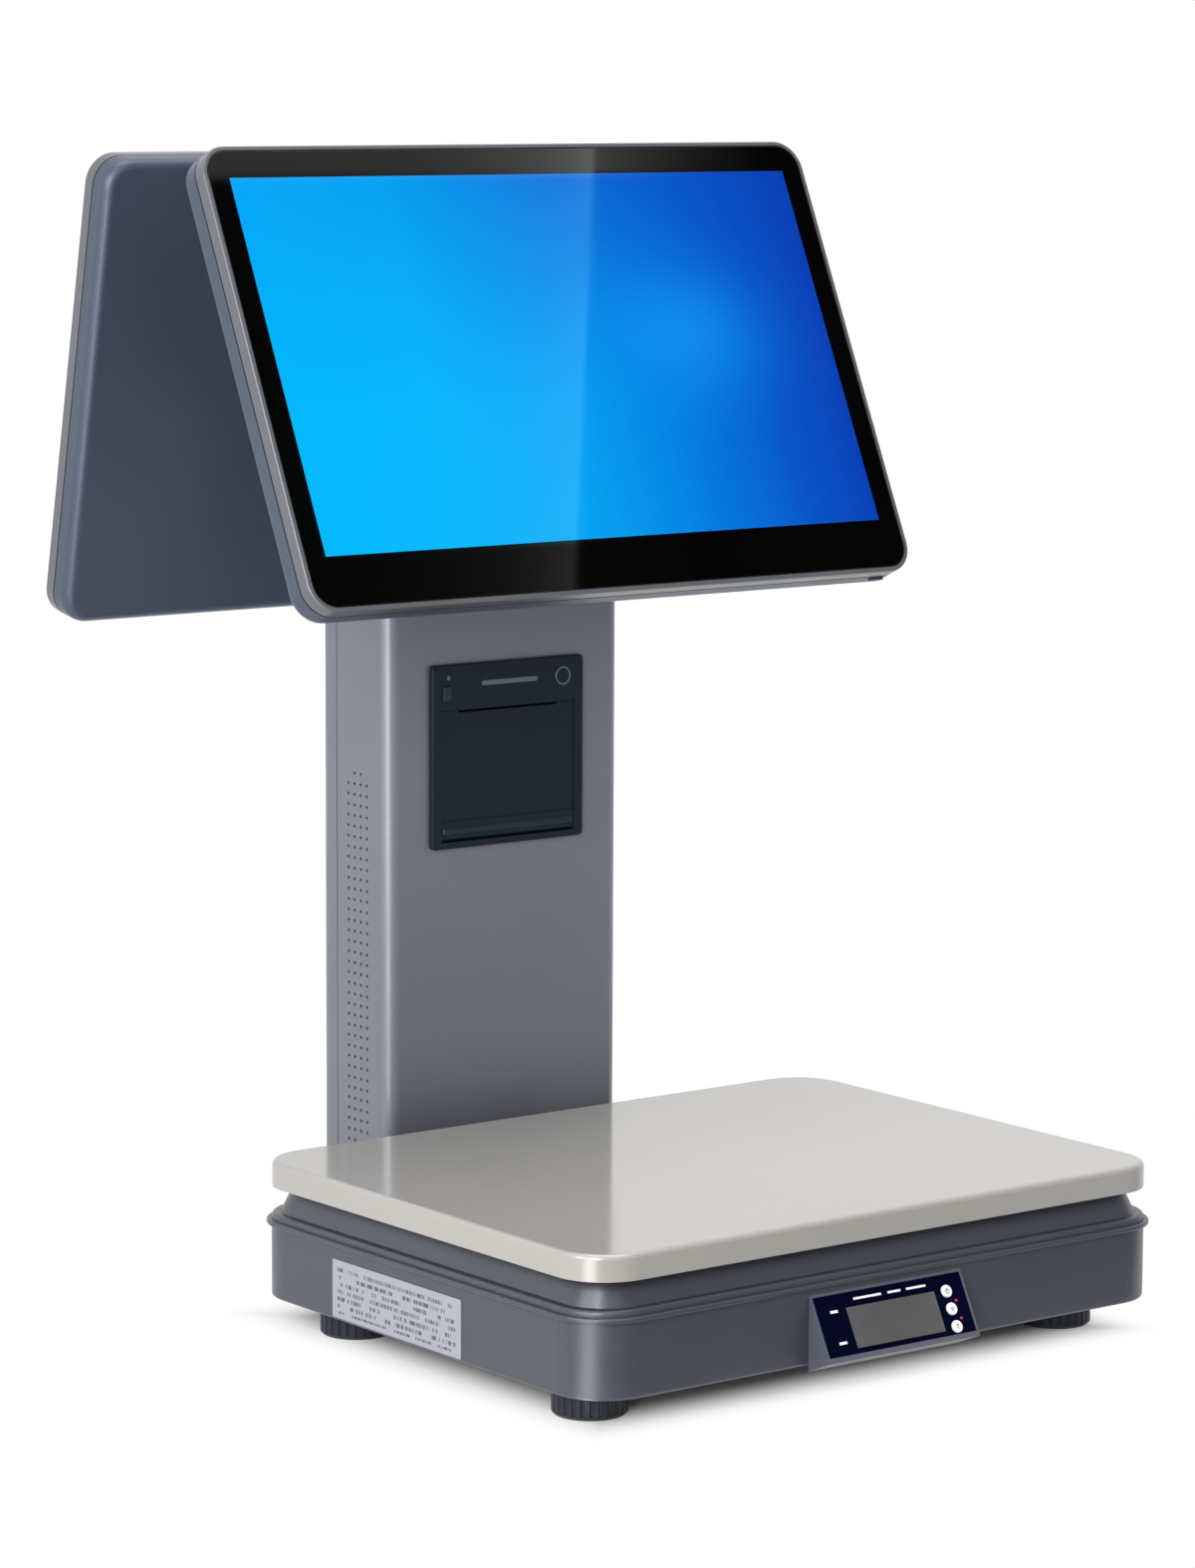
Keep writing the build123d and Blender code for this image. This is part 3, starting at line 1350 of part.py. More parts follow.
def screen_unit(prefix, axis_plane):
    """Five pieces of one tilting screen; axis_plane lies on the hinge axis, facing the viewer."""
    with BuildPart() as frame:
        with BuildSketch(axis_plane.offset(axis_to_frame)):
            RectangleRounded(screen_width, screen_height, screen_corner)
        extrude(amount=screen_frame_depth)
        outward = Axis(axis_plane.origin, axis_plane.z_dir)
        fillet(frame.faces().sort_by(outward)[-1].edges(), screen_front_round)
        with BuildSketch(axis_plane.offset(glass_seat)):
            RectangleRounded(glass_width + 2 * glass_gap, glass_height + 2 * glass_gap, glass_corner)
        extrude(amount=glass_thick + glass_sunk, mode=Mode.SUBTRACT)
        with BuildSketch(axis_plane.offset(axis_to_frame)):
            with Locations((0, panel_rise)):
                Rectangle(panel_width + 2 * panel_gap, panel_height + 2 * panel_gap)
        extrude(amount=screen_frame_depth, mode=Mode.SUBTRACT)
    save(frame, f"{prefix}_frame")

    with BuildPart() as rear_shell:
        with BuildSketch(axis_plane.offset(axis_to_back)):
            RectangleRounded(screen_width, screen_height, screen_corner)
        extrude(amount=screen_shell_depth - screen_groove)
        outward = Axis(axis_plane.origin, axis_plane.z_dir)
        fillet(rear_shell.faces().sort_by(outward)[0].edges(), screen_back_round)
        with BuildSketch(axis_plane.offset(axis_to_frame - screen_groove)):
            RectangleRounded(screen_width - 2 * screen_groove, screen_height - 2 * screen_groove,
                             screen_corner - screen_groove)
        extrude(amount=screen_groove)
        with BuildPart(mode=Mode.PRIVATE) as hollow:
            with BuildSketch(axis_plane.offset(axis_to_back + screen_wall)):
                RectangleRounded(screen_width - 2 * (screen_groove + screen_wall),
                                 screen_height - 2 * (screen_groove + screen_wall),
                                 screen_corner - screen_groove - screen_wall)
            extrude(amount=screen_shell_depth)
            fillet(hollow.faces().sort_by(outward)[0].edges(), screen_back_round - screen_wall)
        add(hollow.part, mode=Mode.SUBTRACT)
        with BuildSketch(axis_plane.offset(axis_to_back + screen_wall / 2)):
            with Locations((0, panel_rise)):
                with GridLocations(panel_width - 2 * screen_rib_inset, 1, 2, 1):
                    Rectangle(screen_rib, panel_height - 2 * screen_rib_short)
        extrude(amount=glass_seat - panel_thick - axis_to_back - screen_wall / 2)
        if prefix == "cashier":
            with BuildSketch(key_plane.offset(-screen_wall * 3)):
                SlotOverall(power_key_width + 2 * button_gap, power_key_depth + 2 * button_gap)
            extrude(amount=screen_wall * 4, mode=Mode.SUBTRACT)
    save(rear_shell, f"{prefix}_rear_shell")

    with BuildPart() as glass:
        with BuildSketch(axis_plane.offset(glass_seat)):
            RectangleRounded(glass_width, glass_height, glass_corner - glass_gap)
        extrude(amount=glass_thick)
        fillet(glass.faces().sort_by(outward)[-1].edges(), glass_edge)
    save(glass, f"{prefix}_glass")

    with BuildPart() as panel:
        with BuildSketch(axis_plane.offset(glass_seat - panel_thick)):
            with Locations((0, panel_rise)):
                Rectangle(panel_width, panel_height)
        extrude(amount=panel_thick)
    save(panel, f"{prefix}_display_panel")

    with BuildPart() as plate:
        with BuildSketch(axis_plane.offset(axis_to_back - hinge_plate)):
            RectangleRounded(hinge_plate_width, hinge_plate_height, hinge_plate_corner)
            SlotOverall(hinge_slot_length, hinge_slot_width, mode=Mode.SUBTRACT)
        extrude(amount=hinge_plate)
        side_plane = Plane(origin=axis_plane.origin, x_dir=axis_plane.z_dir,
                           z_dir=axis_plane.x_dir)
        for start in (-ear_inner - ear_plate, ear_inner):
            with BuildSketch(side_plane.offset(start)):
                Circle(ear_radius)
                with Locations(((axis_to_back - hinge_plate / 2) / 2, 0)):
                    Rectangle(axis_to_back - hinge_plate / 2, 2 * ear_radius)
                Circle(pin_radius + running_gap, mode=Mode.SUBTRACT)
            extrude(amount=ear_plate)
    save(plate, f"{prefix}_hinge_plate")


lean = radians(cashier_tilt)
cashier_plane = Plane(origin=(0, cashier_axis_y, cashier_axis_z), x_dir=(1, 0, 0),
                      z_dir=(0, -cos(lean), sin(lean)))
lean = radians(customer_tilt)
customer_plane = Plane(origin=(0, customer_axis_y, customer_axis_z), x_dir=(-1, 0, 0),
                       z_dir=(0, cos(lean), sin(lean)))
key_middle = cashier_plane.from_local_coords(
    Vector(screen_width / 2 - power_key_inset, -screen_height / 2,
           axis_to_front - power_key_from_front))
key_plane = Plane(origin=key_middle, x_dir=(1, 0, 0), z_dir=-cashier_plane.y_dir)

screen_unit("cashier", cashier_plane)
screen_unit("customer", customer_plane)

with BuildPart() as power_key:
    with BuildSketch(key_plane.offset(-screen_groove - screen_wall)):
        SlotOverall(power_key_width, power_key_depth)
    extrude(amount=screen_groove + screen_wall + power_key_proud)
    with BuildSketch(key_plane.offset(-screen_groove - screen_wall)):
        Rectangle(power_key_lip, power_key_depth + 2 * button_lip)
    extrude(amount=-button_flange)
save(power_key, "cashier_power_key")
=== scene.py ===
"""Looks of the counter-top weighing till: finishes, small trim, studio and camera."""
import json
import math

import bmesh
import bpy
from mathutils import Matrix, Vector


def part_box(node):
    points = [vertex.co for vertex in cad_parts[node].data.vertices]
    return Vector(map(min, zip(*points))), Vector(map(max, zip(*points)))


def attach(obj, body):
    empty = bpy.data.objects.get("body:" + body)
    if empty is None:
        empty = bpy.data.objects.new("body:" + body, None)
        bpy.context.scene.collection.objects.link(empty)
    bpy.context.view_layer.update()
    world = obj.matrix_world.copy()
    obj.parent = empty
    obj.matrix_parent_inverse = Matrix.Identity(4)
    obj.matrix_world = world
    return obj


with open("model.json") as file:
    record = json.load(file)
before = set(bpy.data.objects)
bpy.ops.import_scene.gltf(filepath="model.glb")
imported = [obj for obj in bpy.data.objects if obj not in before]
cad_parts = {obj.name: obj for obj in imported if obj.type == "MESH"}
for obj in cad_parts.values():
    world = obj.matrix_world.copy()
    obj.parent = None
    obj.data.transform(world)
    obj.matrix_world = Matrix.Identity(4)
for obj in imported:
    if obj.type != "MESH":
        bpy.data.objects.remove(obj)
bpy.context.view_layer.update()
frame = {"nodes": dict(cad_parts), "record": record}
nodes = frame["nodes"]
MM = 0.001  # lengths are in metres where no comment says millimetres
X = Vector((1.0, 0.0, 0.0))
Y = Vector((0.0, 1.0, 0.0))
Z = Vector((0.0, 0.0, 1.0))


def rgb(red, green, blue):
    """A display colour from 0 to 255 as the linear colour that shaders take."""
    def linear(value):
        value /= 255.0
        return value / 12.92 if value <= 0.04045 else ((value + 0.055) / 1.055) ** 2.4
    return (linear(red), linear(green), linear(blue), 1.0)


def grey(level):
    return (level, level, level, 1.0)


WHITE = grey(1.0)


# ---------------------------------------------------------------- reading the frame
def corners_of(node):
    """The low and the high corner of a node's box."""
    return tuple(Vector(corner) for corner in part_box(node))


def middle_of(node):
    low, high = corners_of(node)
    return (low + high) / 2


def reach(node, direction):
    """How far a node's points lie along a direction, least and greatest."""
    along = [vert.co.dot(direction) for vert in nodes[node].data.vertices]
    return min(along), max(along)


def flat_normal(node, towards):
    """The normal of the largest face of those that look towards a direction."""
    faces = (face for face in nodes[node].data.polygons if face.normal.dot(towards) > 0.0)
    return max(faces, key=lambda face: face.area).normal.copy()


# ---------------------------------------------------------------- node helpers
class Nodes:
    """The node tree of a new material or world, with short calls to add and join nodes."""

    def __init__(self, name, kind="Material"):
        self.owner = {"Material": bpy.data.materials, "World": bpy.data.worlds}[kind].new(name)
        self.owner.use_nodes = True
        self.tree = self.owner.node_tree
        self.tree.nodes.clear()
        self.output = self.tree.nodes.new(f"ShaderNodeOutput{kind}")
        self.place = self.tree.nodes.new("ShaderNodeTexCoord").outputs["Object"]

    def add(self, kind, inputs=None, **settings):
        node = self.tree.nodes.new(kind)
        for key, value in settings.items():
            setattr(node, key, value)
        for key, value in (inputs or {}).items():
            if isinstance(value, bpy.types.NodeSocket):
                self.tree.links.new(value, node.inputs[key])
            else:
                node.inputs[key].default_value = value
        return node

    def math(self, operation, first, second=0.0, third=0.0):
        inputs = {0: first, 1: second, 2: third}
        return self.add("ShaderNodeMath", inputs, operation=operation).outputs[0]

    def vector_math(self, operation, first, second=None):
        inputs = {0: first} if second is None else {0: first, 1: second}
        return self.add("ShaderNodeVectorMath", inputs, operation=operation).outputs[0]

    def scaled(self, vector, factor):
        inputs = {0: vector, "Scale": factor}
        return self.add("ShaderNodeVectorMath", inputs, operation="SCALE").outputs[0]

    def dot(self, direction):
        node = self.add("ShaderNodeVectorMath", {0: self.place, 1: direction},
                        operation="DOT_PRODUCT")
        return node.outputs["Value"]

    def noise(self, scale, detail=3.0, stretch=(1.0, 1.0, 1.0), rough=0.5):
        mapped = self.add("ShaderNodeMapping", {"Vector": self.place, "Scale": stretch})
        node = self.add("ShaderNodeTexNoise", {"Vector": mapped.outputs[0], "Scale": scale,
                                               "Detail": detail, "Roughness": rough})
        return node.outputs["Fac"]

    def spread(self, value, low, high, start=0.3, end=0.7):
        """The value brought from the range start to end into the range low to high."""
        node = self.add("ShaderNodeMapRange", {"Value": value, "From Min": start, "From Max": end,
                                               "To Min": low, "To Max": high})
        return node.outputs["Result"]

    def blend(self, first, share, second):
        """The first value by its share and the second by the rest."""
        return self.math("ADD", self.math("MULTIPLY", first, share),
                         self.math("MULTIPLY", second, 1.0 - share))

    def mix(self, share, first, second):
        """The first colour, going over to the second as share goes from 0 to 1."""
        node = self.add("ShaderNodeMix", {"Factor": share, 6: first, 7: second}, data_type="RGBA")
        return node.outputs[2]

    def ramp(self, value, stops):
        node = self.add("ShaderNodeValToRGB", {"Fac": value})
        points = node.color_ramp.elements
        points[0].position, points[0].color = stops[0]
        points[1].position, points[1].color = stops[-1]
        for place, colour in stops[1:-1]:
            points.new(place).color = colour
        return node.outputs["Color"]

    def shades(self, value, colour, amount):
        """The colour, darker and lighter by amount as value goes from 0.3 to 0.7."""
        dark = tuple(c * (1.0 - amount) for c in colour[:3]) + (1.0,)
        light = tuple(c * (1.0 + amount) for c in colour[:3]) + (1.0,)
        return self.ramp(value, [(0.3, dark), (0.7, light)])

    def bump(self, height, distance):
        node = self.add("ShaderNodeBump", {"Height": height, "Distance": distance,
                                           "Strength": 1.0})
        return node.outputs["Normal"]

    def surface(self, node):
        """Joins the last node to the output and gives the finished material or world."""
        self.tree.links.new(node.outputs[0], self.output.inputs["Surface"])
        return self.owner

    def shader(self, **inputs):
        named = {key.replace("_", " "): value for key, value in inputs.items()}
        return self.surface(self.add("ShaderNodeBsdfPrincipled", named))

    def emission(self, colour):
        return self.add("ShaderNodeEmission", {"Color": colour, "Strength": 1.0})


# ---------------------------------------------------------------- finishes
def painted_metal(name, colour, rough=0.36, metallic=0.55):
    """Satin metallic paint: fine flecks, slight orange peel and uneven gloss."""
    n = Nodes(name)
    flecks = n.blend(n.noise(2600.0, 2.0), 0.75, n.noise(9.0, 3.0))
    return n.shader(Base_Color=n.shades(flecks, colour, 0.10), Metallic=metallic,
                    Roughness=n.spread(n.noise(30.0, 4.0), rough - 0.04, rough + 0.05),
                    Normal=n.bump(n.noise(420.0, 2.0), 0.04 * MM), Coat_Weight=0.12,
                    Coat_Roughness=0.25)


def moulded_plastic(name, colour, rough=0.48, amount=0.07, shine=0.5):
    """Spark-textured moulding with a soft sheen."""
    n = Nodes(name)
    speckle = n.noise(1500.0, 3.0)
    tone = n.blend(speckle, 0.6, n.noise(14.0, 3.0))
    return n.shader(Base_Color=n.shades(tone, colour, amount), Specular_IOR_Level=shine,
                    Roughness=n.spread(n.noise(40.0, 4.0), rough - 0.05, rough + 0.06),
                    Normal=n.bump(speckle, 0.06 * MM))


def satin_steel(name, colour, rough=0.09, side_rough=0.22, metallic=0.15):
    """Stainless sheet: a polished top with a faint long grain, duller where it turns down."""
    n = Nodes(name)
    grain = n.noise(900.0, 3.0, stretch=(0.17, 1.0, 1.0))
    wiped = n.blend(grain, 0.45, n.noise(7.0, 5.0, rough=0.6))
    normal = n.add("ShaderNodeNewGeometry").outputs["True Normal"]
    facing_up = n.add("ShaderNodeSeparateXYZ", {0: normal}).outputs[2]
    polish = n.spread(facing_up, side_rough, rough, 0.3, 0.95)
    return n.shader(Base_Color=n.shades(wiped, colour, 0.035), Metallic=metallic,
                    Roughness=n.math("ADD", polish, n.spread(wiped, -0.02, 0.04)),
                    Normal=n.bump(grain, 0.01 * MM))


def zinc_steel(name, colour):
    n = Nodes(name)
    bloom = n.noise(180.0, 4.0)
    return n.shader(Base_Color=n.shades(bloom, colour, 0.15), Metallic=1.0,
                    Roughness=n.spread(bloom, 0.28, 0.42), Normal=n.bump(bloom, 0.02 * MM))


def cast_alloy(name, colour):
    n = Nodes(name)
    sand = n.noise(800.0, 4.0)
    return n.shader(Base_Color=n.shades(sand, colour, 0.12), Metallic=0.9,
                    Roughness=n.spread(sand, 0.45, 0.62), Normal=n.bump(sand, 0.1 * MM))


def rubber(name, colour):
    n = Nodes(name)
    bloom = n.noise(60.0, 5.0)
    return n.shader(Base_Color=n.shades(bloom, colour, 0.2),
                    Roughness=n.spread(bloom, 0.7, 0.85),
                    Normal=n.bump(n.noise(900.0, 3.0), 0.08 * MM))


# the rating plate's dashes: how many rows, letters and words across it, the noise level below
# which each is left blank, the share of a row between lines and how far the print reaches out
PLATE_ROWS = 8.0
LETTERS_ACROSS, LETTER_GAP = 110.0, 0.47
WORDS_ACROSS, WORD_GAP = 12.0, 0.42
ROW_STRIDE, ROW_GAP = 5.3, 0.45
PRINT_REACH_ALONG, PRINT_REACH_UP = 0.46, 0.42
PLATE_INK = rgb(40, 42, 48)
INK_SHARE = 0.8


def printed_plate(name, colour):
    """Pale film with rows of small dark dashes that spell nothing."""
    n = Nodes(name)
    low, high = corners_of("rating_plate")
    along = n.math("DIVIDE", n.math("SUBTRACT", n.dot(Y), low.y), high.y - low.y)
    rise = n.math("DIVIDE", n.math("SUBTRACT", n.dot(Z), low.z), high.z - low.z)
    row = n.math("MULTIPLY", rise, PLATE_ROWS)
    row_start = n.math("MULTIPLY", n.math("FLOOR", row), ROW_STRIDE)

    def dashes(across, gap):
        """1 where a noise that changes from row to row is above the gap's level."""
        place = n.add("ShaderNodeCombineXYZ", {0: n.math("MULTIPLY", along, across), 1: row_start})
        noise = n.add("ShaderNodeTexNoise", {"Vector": place.outputs[0], "Scale": 1.0,
                                             "Detail": 0.0}).outputs["Fac"]
        return n.math("GREATER_THAN", noise, gap)

    ink = n.math("MULTIPLY", dashes(LETTERS_ACROSS, LETTER_GAP), dashes(WORDS_ACROSS, WORD_GAP))
    ink = n.math("MULTIPLY", ink, n.math("GREATER_THAN", n.math("FRACT", row), ROW_GAP))
    for value, edge in ((along, PRINT_REACH_ALONG), (rise, PRINT_REACH_UP)):
        inside = n.math("LESS_THAN", n.math("ABSOLUTE", n.math("SUBTRACT", value, 0.5)), edge)
        ink = n.math("MULTIPLY", ink, inside)
    tone = n.mix(n.math("MULTIPLY", ink, INK_SHARE), colour, PLATE_INK)
    return n.shader(Base_Color=tone, Roughness=n.spread(n.noise(25.0, 4.0), 0.27, 0.35))


def paper(name, colour):
    n = Nodes(name)
    fibre = n.noise(700.0, 5.0, stretch=(1.0, 4.0, 4.0))
    return n.shader(Base_Color=n.shades(fibre, colour, 0.04), Roughness=0.8,
                    Normal=n.bump(fibre, 0.06 * MM))


def circuit_board(name, colour):
    """Green lacquer over fine copper tracks."""
    n = Nodes(name)
    tracks = n.add("ShaderNodeTexBrick", {"Vector": n.place, "Scale": 160.0, "Mortar Size": 0.012,
                                          "Color1": colour, "Color2": rgb(18, 92, 52),
                                          "Mortar": rgb(150, 126, 60)})
    return n.shader(Base_Color=tracks.outputs["Color"], Roughness=0.35,
                    Normal=n.bump(tracks.outputs["Fac"], 0.03 * MM))


def gloss_film(name, colour, rough=0.1, shine=0.5):
    """Printed film with a slight haze."""
    n = Nodes(name)
    haze = n.noise(25.0, 4.0)
    return n.shader(Base_Color=n.shades(haze, colour, 0.12),
                    Roughness=n.spread(haze, rough - 0.03, rough + 0.05),
                    Normal=n.bump(n.noise(300.0, 2.0), 0.006 * MM), Specular_IOR_Level=shine)


# ---------------------------------------------------------------- screens
LIT_WIDTH = 344.2 * MM
LIT_HEIGHT = 193.6 * MM
BLACK_GLASS = (0.0015, 0.0015, 0.0017, 1.0)

# the plain blue picture, from the screen's left to its right, near its foot and at its top
SKY_DRIFT = 0.06
SKY_FOOT = -0.25
SKY_STOPS = (0.0, 0.25, 0.45, 0.6, 0.75, 0.88, 1.0)
SKY_LOW = (rgb(0, 184, 253), rgb(2, 183, 251), rgb(2, 164, 244), rgb(0, 140, 232),
           rgb(1, 112, 217), rgb(4, 84, 201), rgb(7, 64, 183))
SKY_HIGH = (rgb(0, 166, 248), rgb(1, 160, 242), rgb(4, 130, 228), rgb(4, 104, 214),
            rgb(4, 90, 203), rgb(4, 76, 193), rgb(7, 64, 183))

# its round glow: where, as shares of half the lit width and height, how tight and how strong
GLOW_COLOUR = rgb(16, 158, 252)
GLOW_SIDE, GLOW_HEIGHT = 0.45, 0.1
GLOW_TIGHT_SIDE, GLOW_TIGHT_HEIGHT = 14.0, 9.0
GLOW_SHARE = 0.55


class Screen:
    """Where one screen's glass is: the directions across, up and out of it, and its size."""

    def __init__(self, name, facing):
        glass = f"{name}_glass"
        self.across = X * -facing
        self.out = flat_normal(glass, Y * facing)
        self.up = self.out.cross(self.across)
        left, right = reach(glass, self.across)
        bottom, top = reach(glass, self.up)
        self.half_width, self.half_height = (right - left) / 2, (top - bottom) / 2
        self.middle = self.across * (left + right) / 2 + self.up * (bottom + top) / 2 \
            + self.out * reach(glass, self.out)[1]
        self.lit_middle = sum(reach(f"{name}_display_panel", self.up)) / 2

    def point(self, across, up, out):
        """A point from the middle of the glass's front."""
        return self.middle + self.across * across + self.up * up + self.out * out


cashier = Screen("cashier", -1.0)
customer = Screen("customer", 1.0)


def screen_glass(name, screen):
    """Black-bordered glass over a lit panel that shows a plain blue gradient."""
    n = Nodes(name)
    side = n.math("DIVIDE", n.dot(screen.across), LIT_WIDTH / 2)
    height = n.math("SUBTRACT", n.dot(screen.up), screen.lit_middle)
    height = n.math("DIVIDE", height, LIT_HEIGHT / 2)
    inside = n.math("MULTIPLY", n.math("LESS_THAN", n.math("ABSOLUTE", side), 1.0),
                    n.math("LESS_THAN", n.math("ABSOLUTE", height), 1.0))
    drift = n.math("MULTIPLY", n.math("SUBTRACT", n.noise(5.0, 2.0), 0.5), SKY_DRIFT)
    share = n.math("ADD", n.math("MULTIPLY_ADD", side, 0.5, 0.5), drift)
    low, high = (n.ramp(share, list(zip(SKY_STOPS, colours))) for colours in (SKY_LOW, SKY_HIGH))
    sky = n.mix(n.spread(height, 0.0, 1.0, SKY_FOOT, 1.0), low, high)
    glow_side = n.math("POWER", n.math("ABSOLUTE", n.math("SUBTRACT", side, GLOW_SIDE)), 2.0)
    glow_height = n.math("POWER", n.math("ABSOLUTE", n.math("SUBTRACT", height, GLOW_HEIGHT)), 2.0)
    fall = n.math("ADD", n.math("MULTIPLY", glow_side, -GLOW_TIGHT_SIDE),
                  n.math("MULTIPLY", glow_height, -GLOW_TIGHT_HEIGHT))
    glow = n.math("MULTIPLY", n.math("EXPONENT", fall), GLOW_SHARE)
    lit = n.mix(inside, grey(0.0), n.mix(glow, sky, GLOW_COLOUR))
    smear = n.noise(11.0, 5.0)
    return n.shader(Base_Color=n.shades(smear, BLACK_GLASS, 0.3),
                    Roughness=n.spread(smear, 0.02, 0.04), Emission_Color=lit,
                    Emission_Strength=1.0, IOR=1.5)


# ---------------------------------------------------------------- finish of every carried-over node
COLUMN_GREY = rgb(124, 127, 136)
SHELL_BLUE = rgb(72, 81, 99)
BASE_SLATE = rgb(56, 60, 71)
PRINTER_NAVY = rgb(18, 29, 40)
finishes = {
    "tray_steel": satin_steel("tray_steel", (0.43, 0.415, 0.385, 1.0)),
    "base_plastic": moulded_plastic("base_plastic", BASE_SLATE, rough=0.33, shine=0.8),
    "column_paint": painted_metal("column_paint", COLUMN_GREY),
    "shell_paint": painted_metal("shell_paint", SHELL_BLUE, rough=0.4, metallic=0.35),
    "frame_paint": painted_metal("frame_paint", rgb(110, 112, 118), rough=0.3),
    "screen_image": gloss_film("screen_image", rgb(12, 40, 90)),
    "bracket_paint": painted_metal("bracket_paint", rgb(48, 50, 55), rough=0.45, metallic=0.2),
    "printer_plastic": moulded_plastic("printer_plastic", PRINTER_NAVY, rough=0.36, shine=0.2),
    "overlay_film": gloss_film("overlay_film", rgb(2, 4, 33), rough=0.25, shine=0.03),
    "lcd_grey": gloss_film("lcd_grey", rgb(86, 86, 86), rough=0.2),
    "key_white": moulded_plastic("key_white", rgb(246, 247, 252), rough=0.4, amount=0.02),
    "knob_plastic": moulded_plastic("knob_plastic", rgb(43, 47, 56), rough=0.45, shine=0.25),
    "pad_rubber": rubber("pad_rubber", rgb(38, 38, 42)),
    "zinc_steel": zinc_steel("zinc_steel", (0.6, 0.6, 0.58, 1.0)),
    "cast_alloy": cast_alloy("cast_alloy", (0.5, 0.51, 0.52, 1.0)),
    "board_green": circuit_board("board_green", rgb(12, 74, 44)),
    "paper_white": paper("paper_white", rgb(238, 236, 230)),
    "plate_white": printed_plate("plate_white", rgb(160, 163, 172)),
    "light_clear": gloss_film("light_clear", rgb(92, 98, 108), rough=0.25),
    "port_black": moulded_plastic("port_black", rgb(30, 31, 33), rough=0.45),
    "mark_red": gloss_film("mark_red", rgb(196, 24, 52), rough=0.3),
}
finish_of_node = {
    "cashier_glass": screen_glass("cashier_screen_glass", cashier),
    "customer_glass": screen_glass("customer_screen_glass", customer),
    # painted light: the display housing is a lighter copy of the base's slate plastic, standing in
    # for the light its left side catches
    "display_housing": moulded_plastic("display_plastic_painted_light", rgb(82, 87, 100), rough=0.4, shine=0.7),
    # painted highlight: the lever's navy is lighter than the printer's, and glossier, so that it
    # stands out as if catching light
    "open_lever": moulded_plastic("lever_plastic_painted_highlight", rgb(24, 35, 46), rough=0.3, shine=0.4),
}
for part in frame["record"]["subparts"]:
    mesh = nodes[part["node"]].data
    finish = finish_of_node.get(part["node"]) or finishes[part["material_slot"]]
    for index in range(max(1, len(mesh.materials))):
        if index < len(mesh.materials):
            mesh.materials[index] = finish
        else:
            mesh.materials.append(finish)


# ---------------------------------------------------------------- meshes
def filled_mesh(name, build):
    """A mesh of what was built, its faces turned outwards."""
    mesh = bpy.data.meshes.new(name)
    bmesh.ops.recalc_face_normals(build, faces=build.faces)
    build.to_mesh(mesh)
    build.free()
    return mesh


def lathe(name, profile, centre, axis, segments=64):
    """A closed ring of the profile's (radius, height) points, turned round axis at centre."""
    build = bmesh.new()
    turn = axis.to_track_quat("Z", "Y").to_matrix()
    rows = []
    for step in range(segments):
        angle = 2 * math.pi * step / segments
        rows.append([build.verts.new(centre + turn @ Vector((r * math.cos(angle),
                                                             r * math.sin(angle), h)))
                     for r, h in profile])
    for step in range(segments):
        here, ahead = rows[step], rows[(step + 1) % segments]
        for index in range(len(profile)):
            after = (index + 1) % len(profile)
            build.faces.new((here[index], ahead[index], ahead[after], here[after]))
    mesh = filled_mesh(name, build)
    for face in mesh.polygons:
        face.use_smooth = True
    return mesh


def ring_section(inner, outer, height):
    """A low ring's section with bevelled shoulders."""
    soft = min(height, (outer - inner) / 2) * 0.5
    return [(inner, 0.0), (outer, 0.0), (outer, height - soft), (outer - soft, height),
            (inner + soft, height), (inner, height - soft)]


def block(name, middle, across, up, out, size):
    """A box of size across, up and out, its middle at the given point."""
    build = bmesh.new()
    bmesh.ops.create_cube(build, size=1.0)
    axes = Matrix((across, up, out)).transposed()
    for vert in build.verts:
        vert.co = middle + axes @ Vector(v * s for v, s in zip(vert.co, size))
    return filled_mesh(name, build)


# ---------------------------------------------------------------- small inlaid and printed pieces
def piece(name, mesh, finish, body, round_by=0.0):
    """A new piece with its finish, riding on its body, its edges rounded by a bevel."""
    thing = bpy.data.objects.new(name, mesh)
    bpy.context.scene.collection.objects.link(thing)
    mesh.materials.append(finish)
    if round_by:
        bevel = thing.modifiers.new("round", "BEVEL")
        bevel.width = round_by
        bevel.segments = 3
        bevel.limit_method = "ANGLE"
    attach(thing, body)
    return thing


# the rounded lip low on the receipt door, in a lighter, glossier copy of the printer's navy whose
# lighter tone is a painted highlight
LIP_INSET = 2.7 * MM
LIP_RISE = 5.1 * MM
LIP_SINK = 0.45 * MM
LIP_HEIGHT = 3.6 * MM
LIP_DEPTH = 1.8 * MM
LIP_ROUND = 0.85 * MM
door_low, door_high = corners_of("printer_door")
lip_middle = Vector(((door_low.x + door_high.x) / 2, door_low.y + LIP_SINK, door_low.z + LIP_RISE))
lip_width = door_high.x - door_low.x - 2 * LIP_INSET
piece("door_lip", block("door_lip", lip_middle, X, Z, -Y, (lip_width, LIP_HEIGHT, LIP_DEPTH)),
      moulded_plastic("lip_plastic_painted_highlight", rgb(24, 32, 45), rough=0.34, shine=0.35), "receipt_door",
      round_by=LIP_ROUND)

# the clear ring round the feed key
FEED_RING_INNER = 3.9 * MM
FEED_RING_OUTER = 4.8 * MM
FEED_RING_HEIGHT = 0.14 * MM
feed_face = middle_of("feed_button")
feed_face.y = corners_of("feed_button")[0].y
feed_section = ring_section(FEED_RING_INNER, FEED_RING_OUTER, FEED_RING_HEIGHT)
piece("feed_ring", lathe("feed_ring", feed_section, feed_face, -Y), finishes["light_clear"],
      "feed_key")

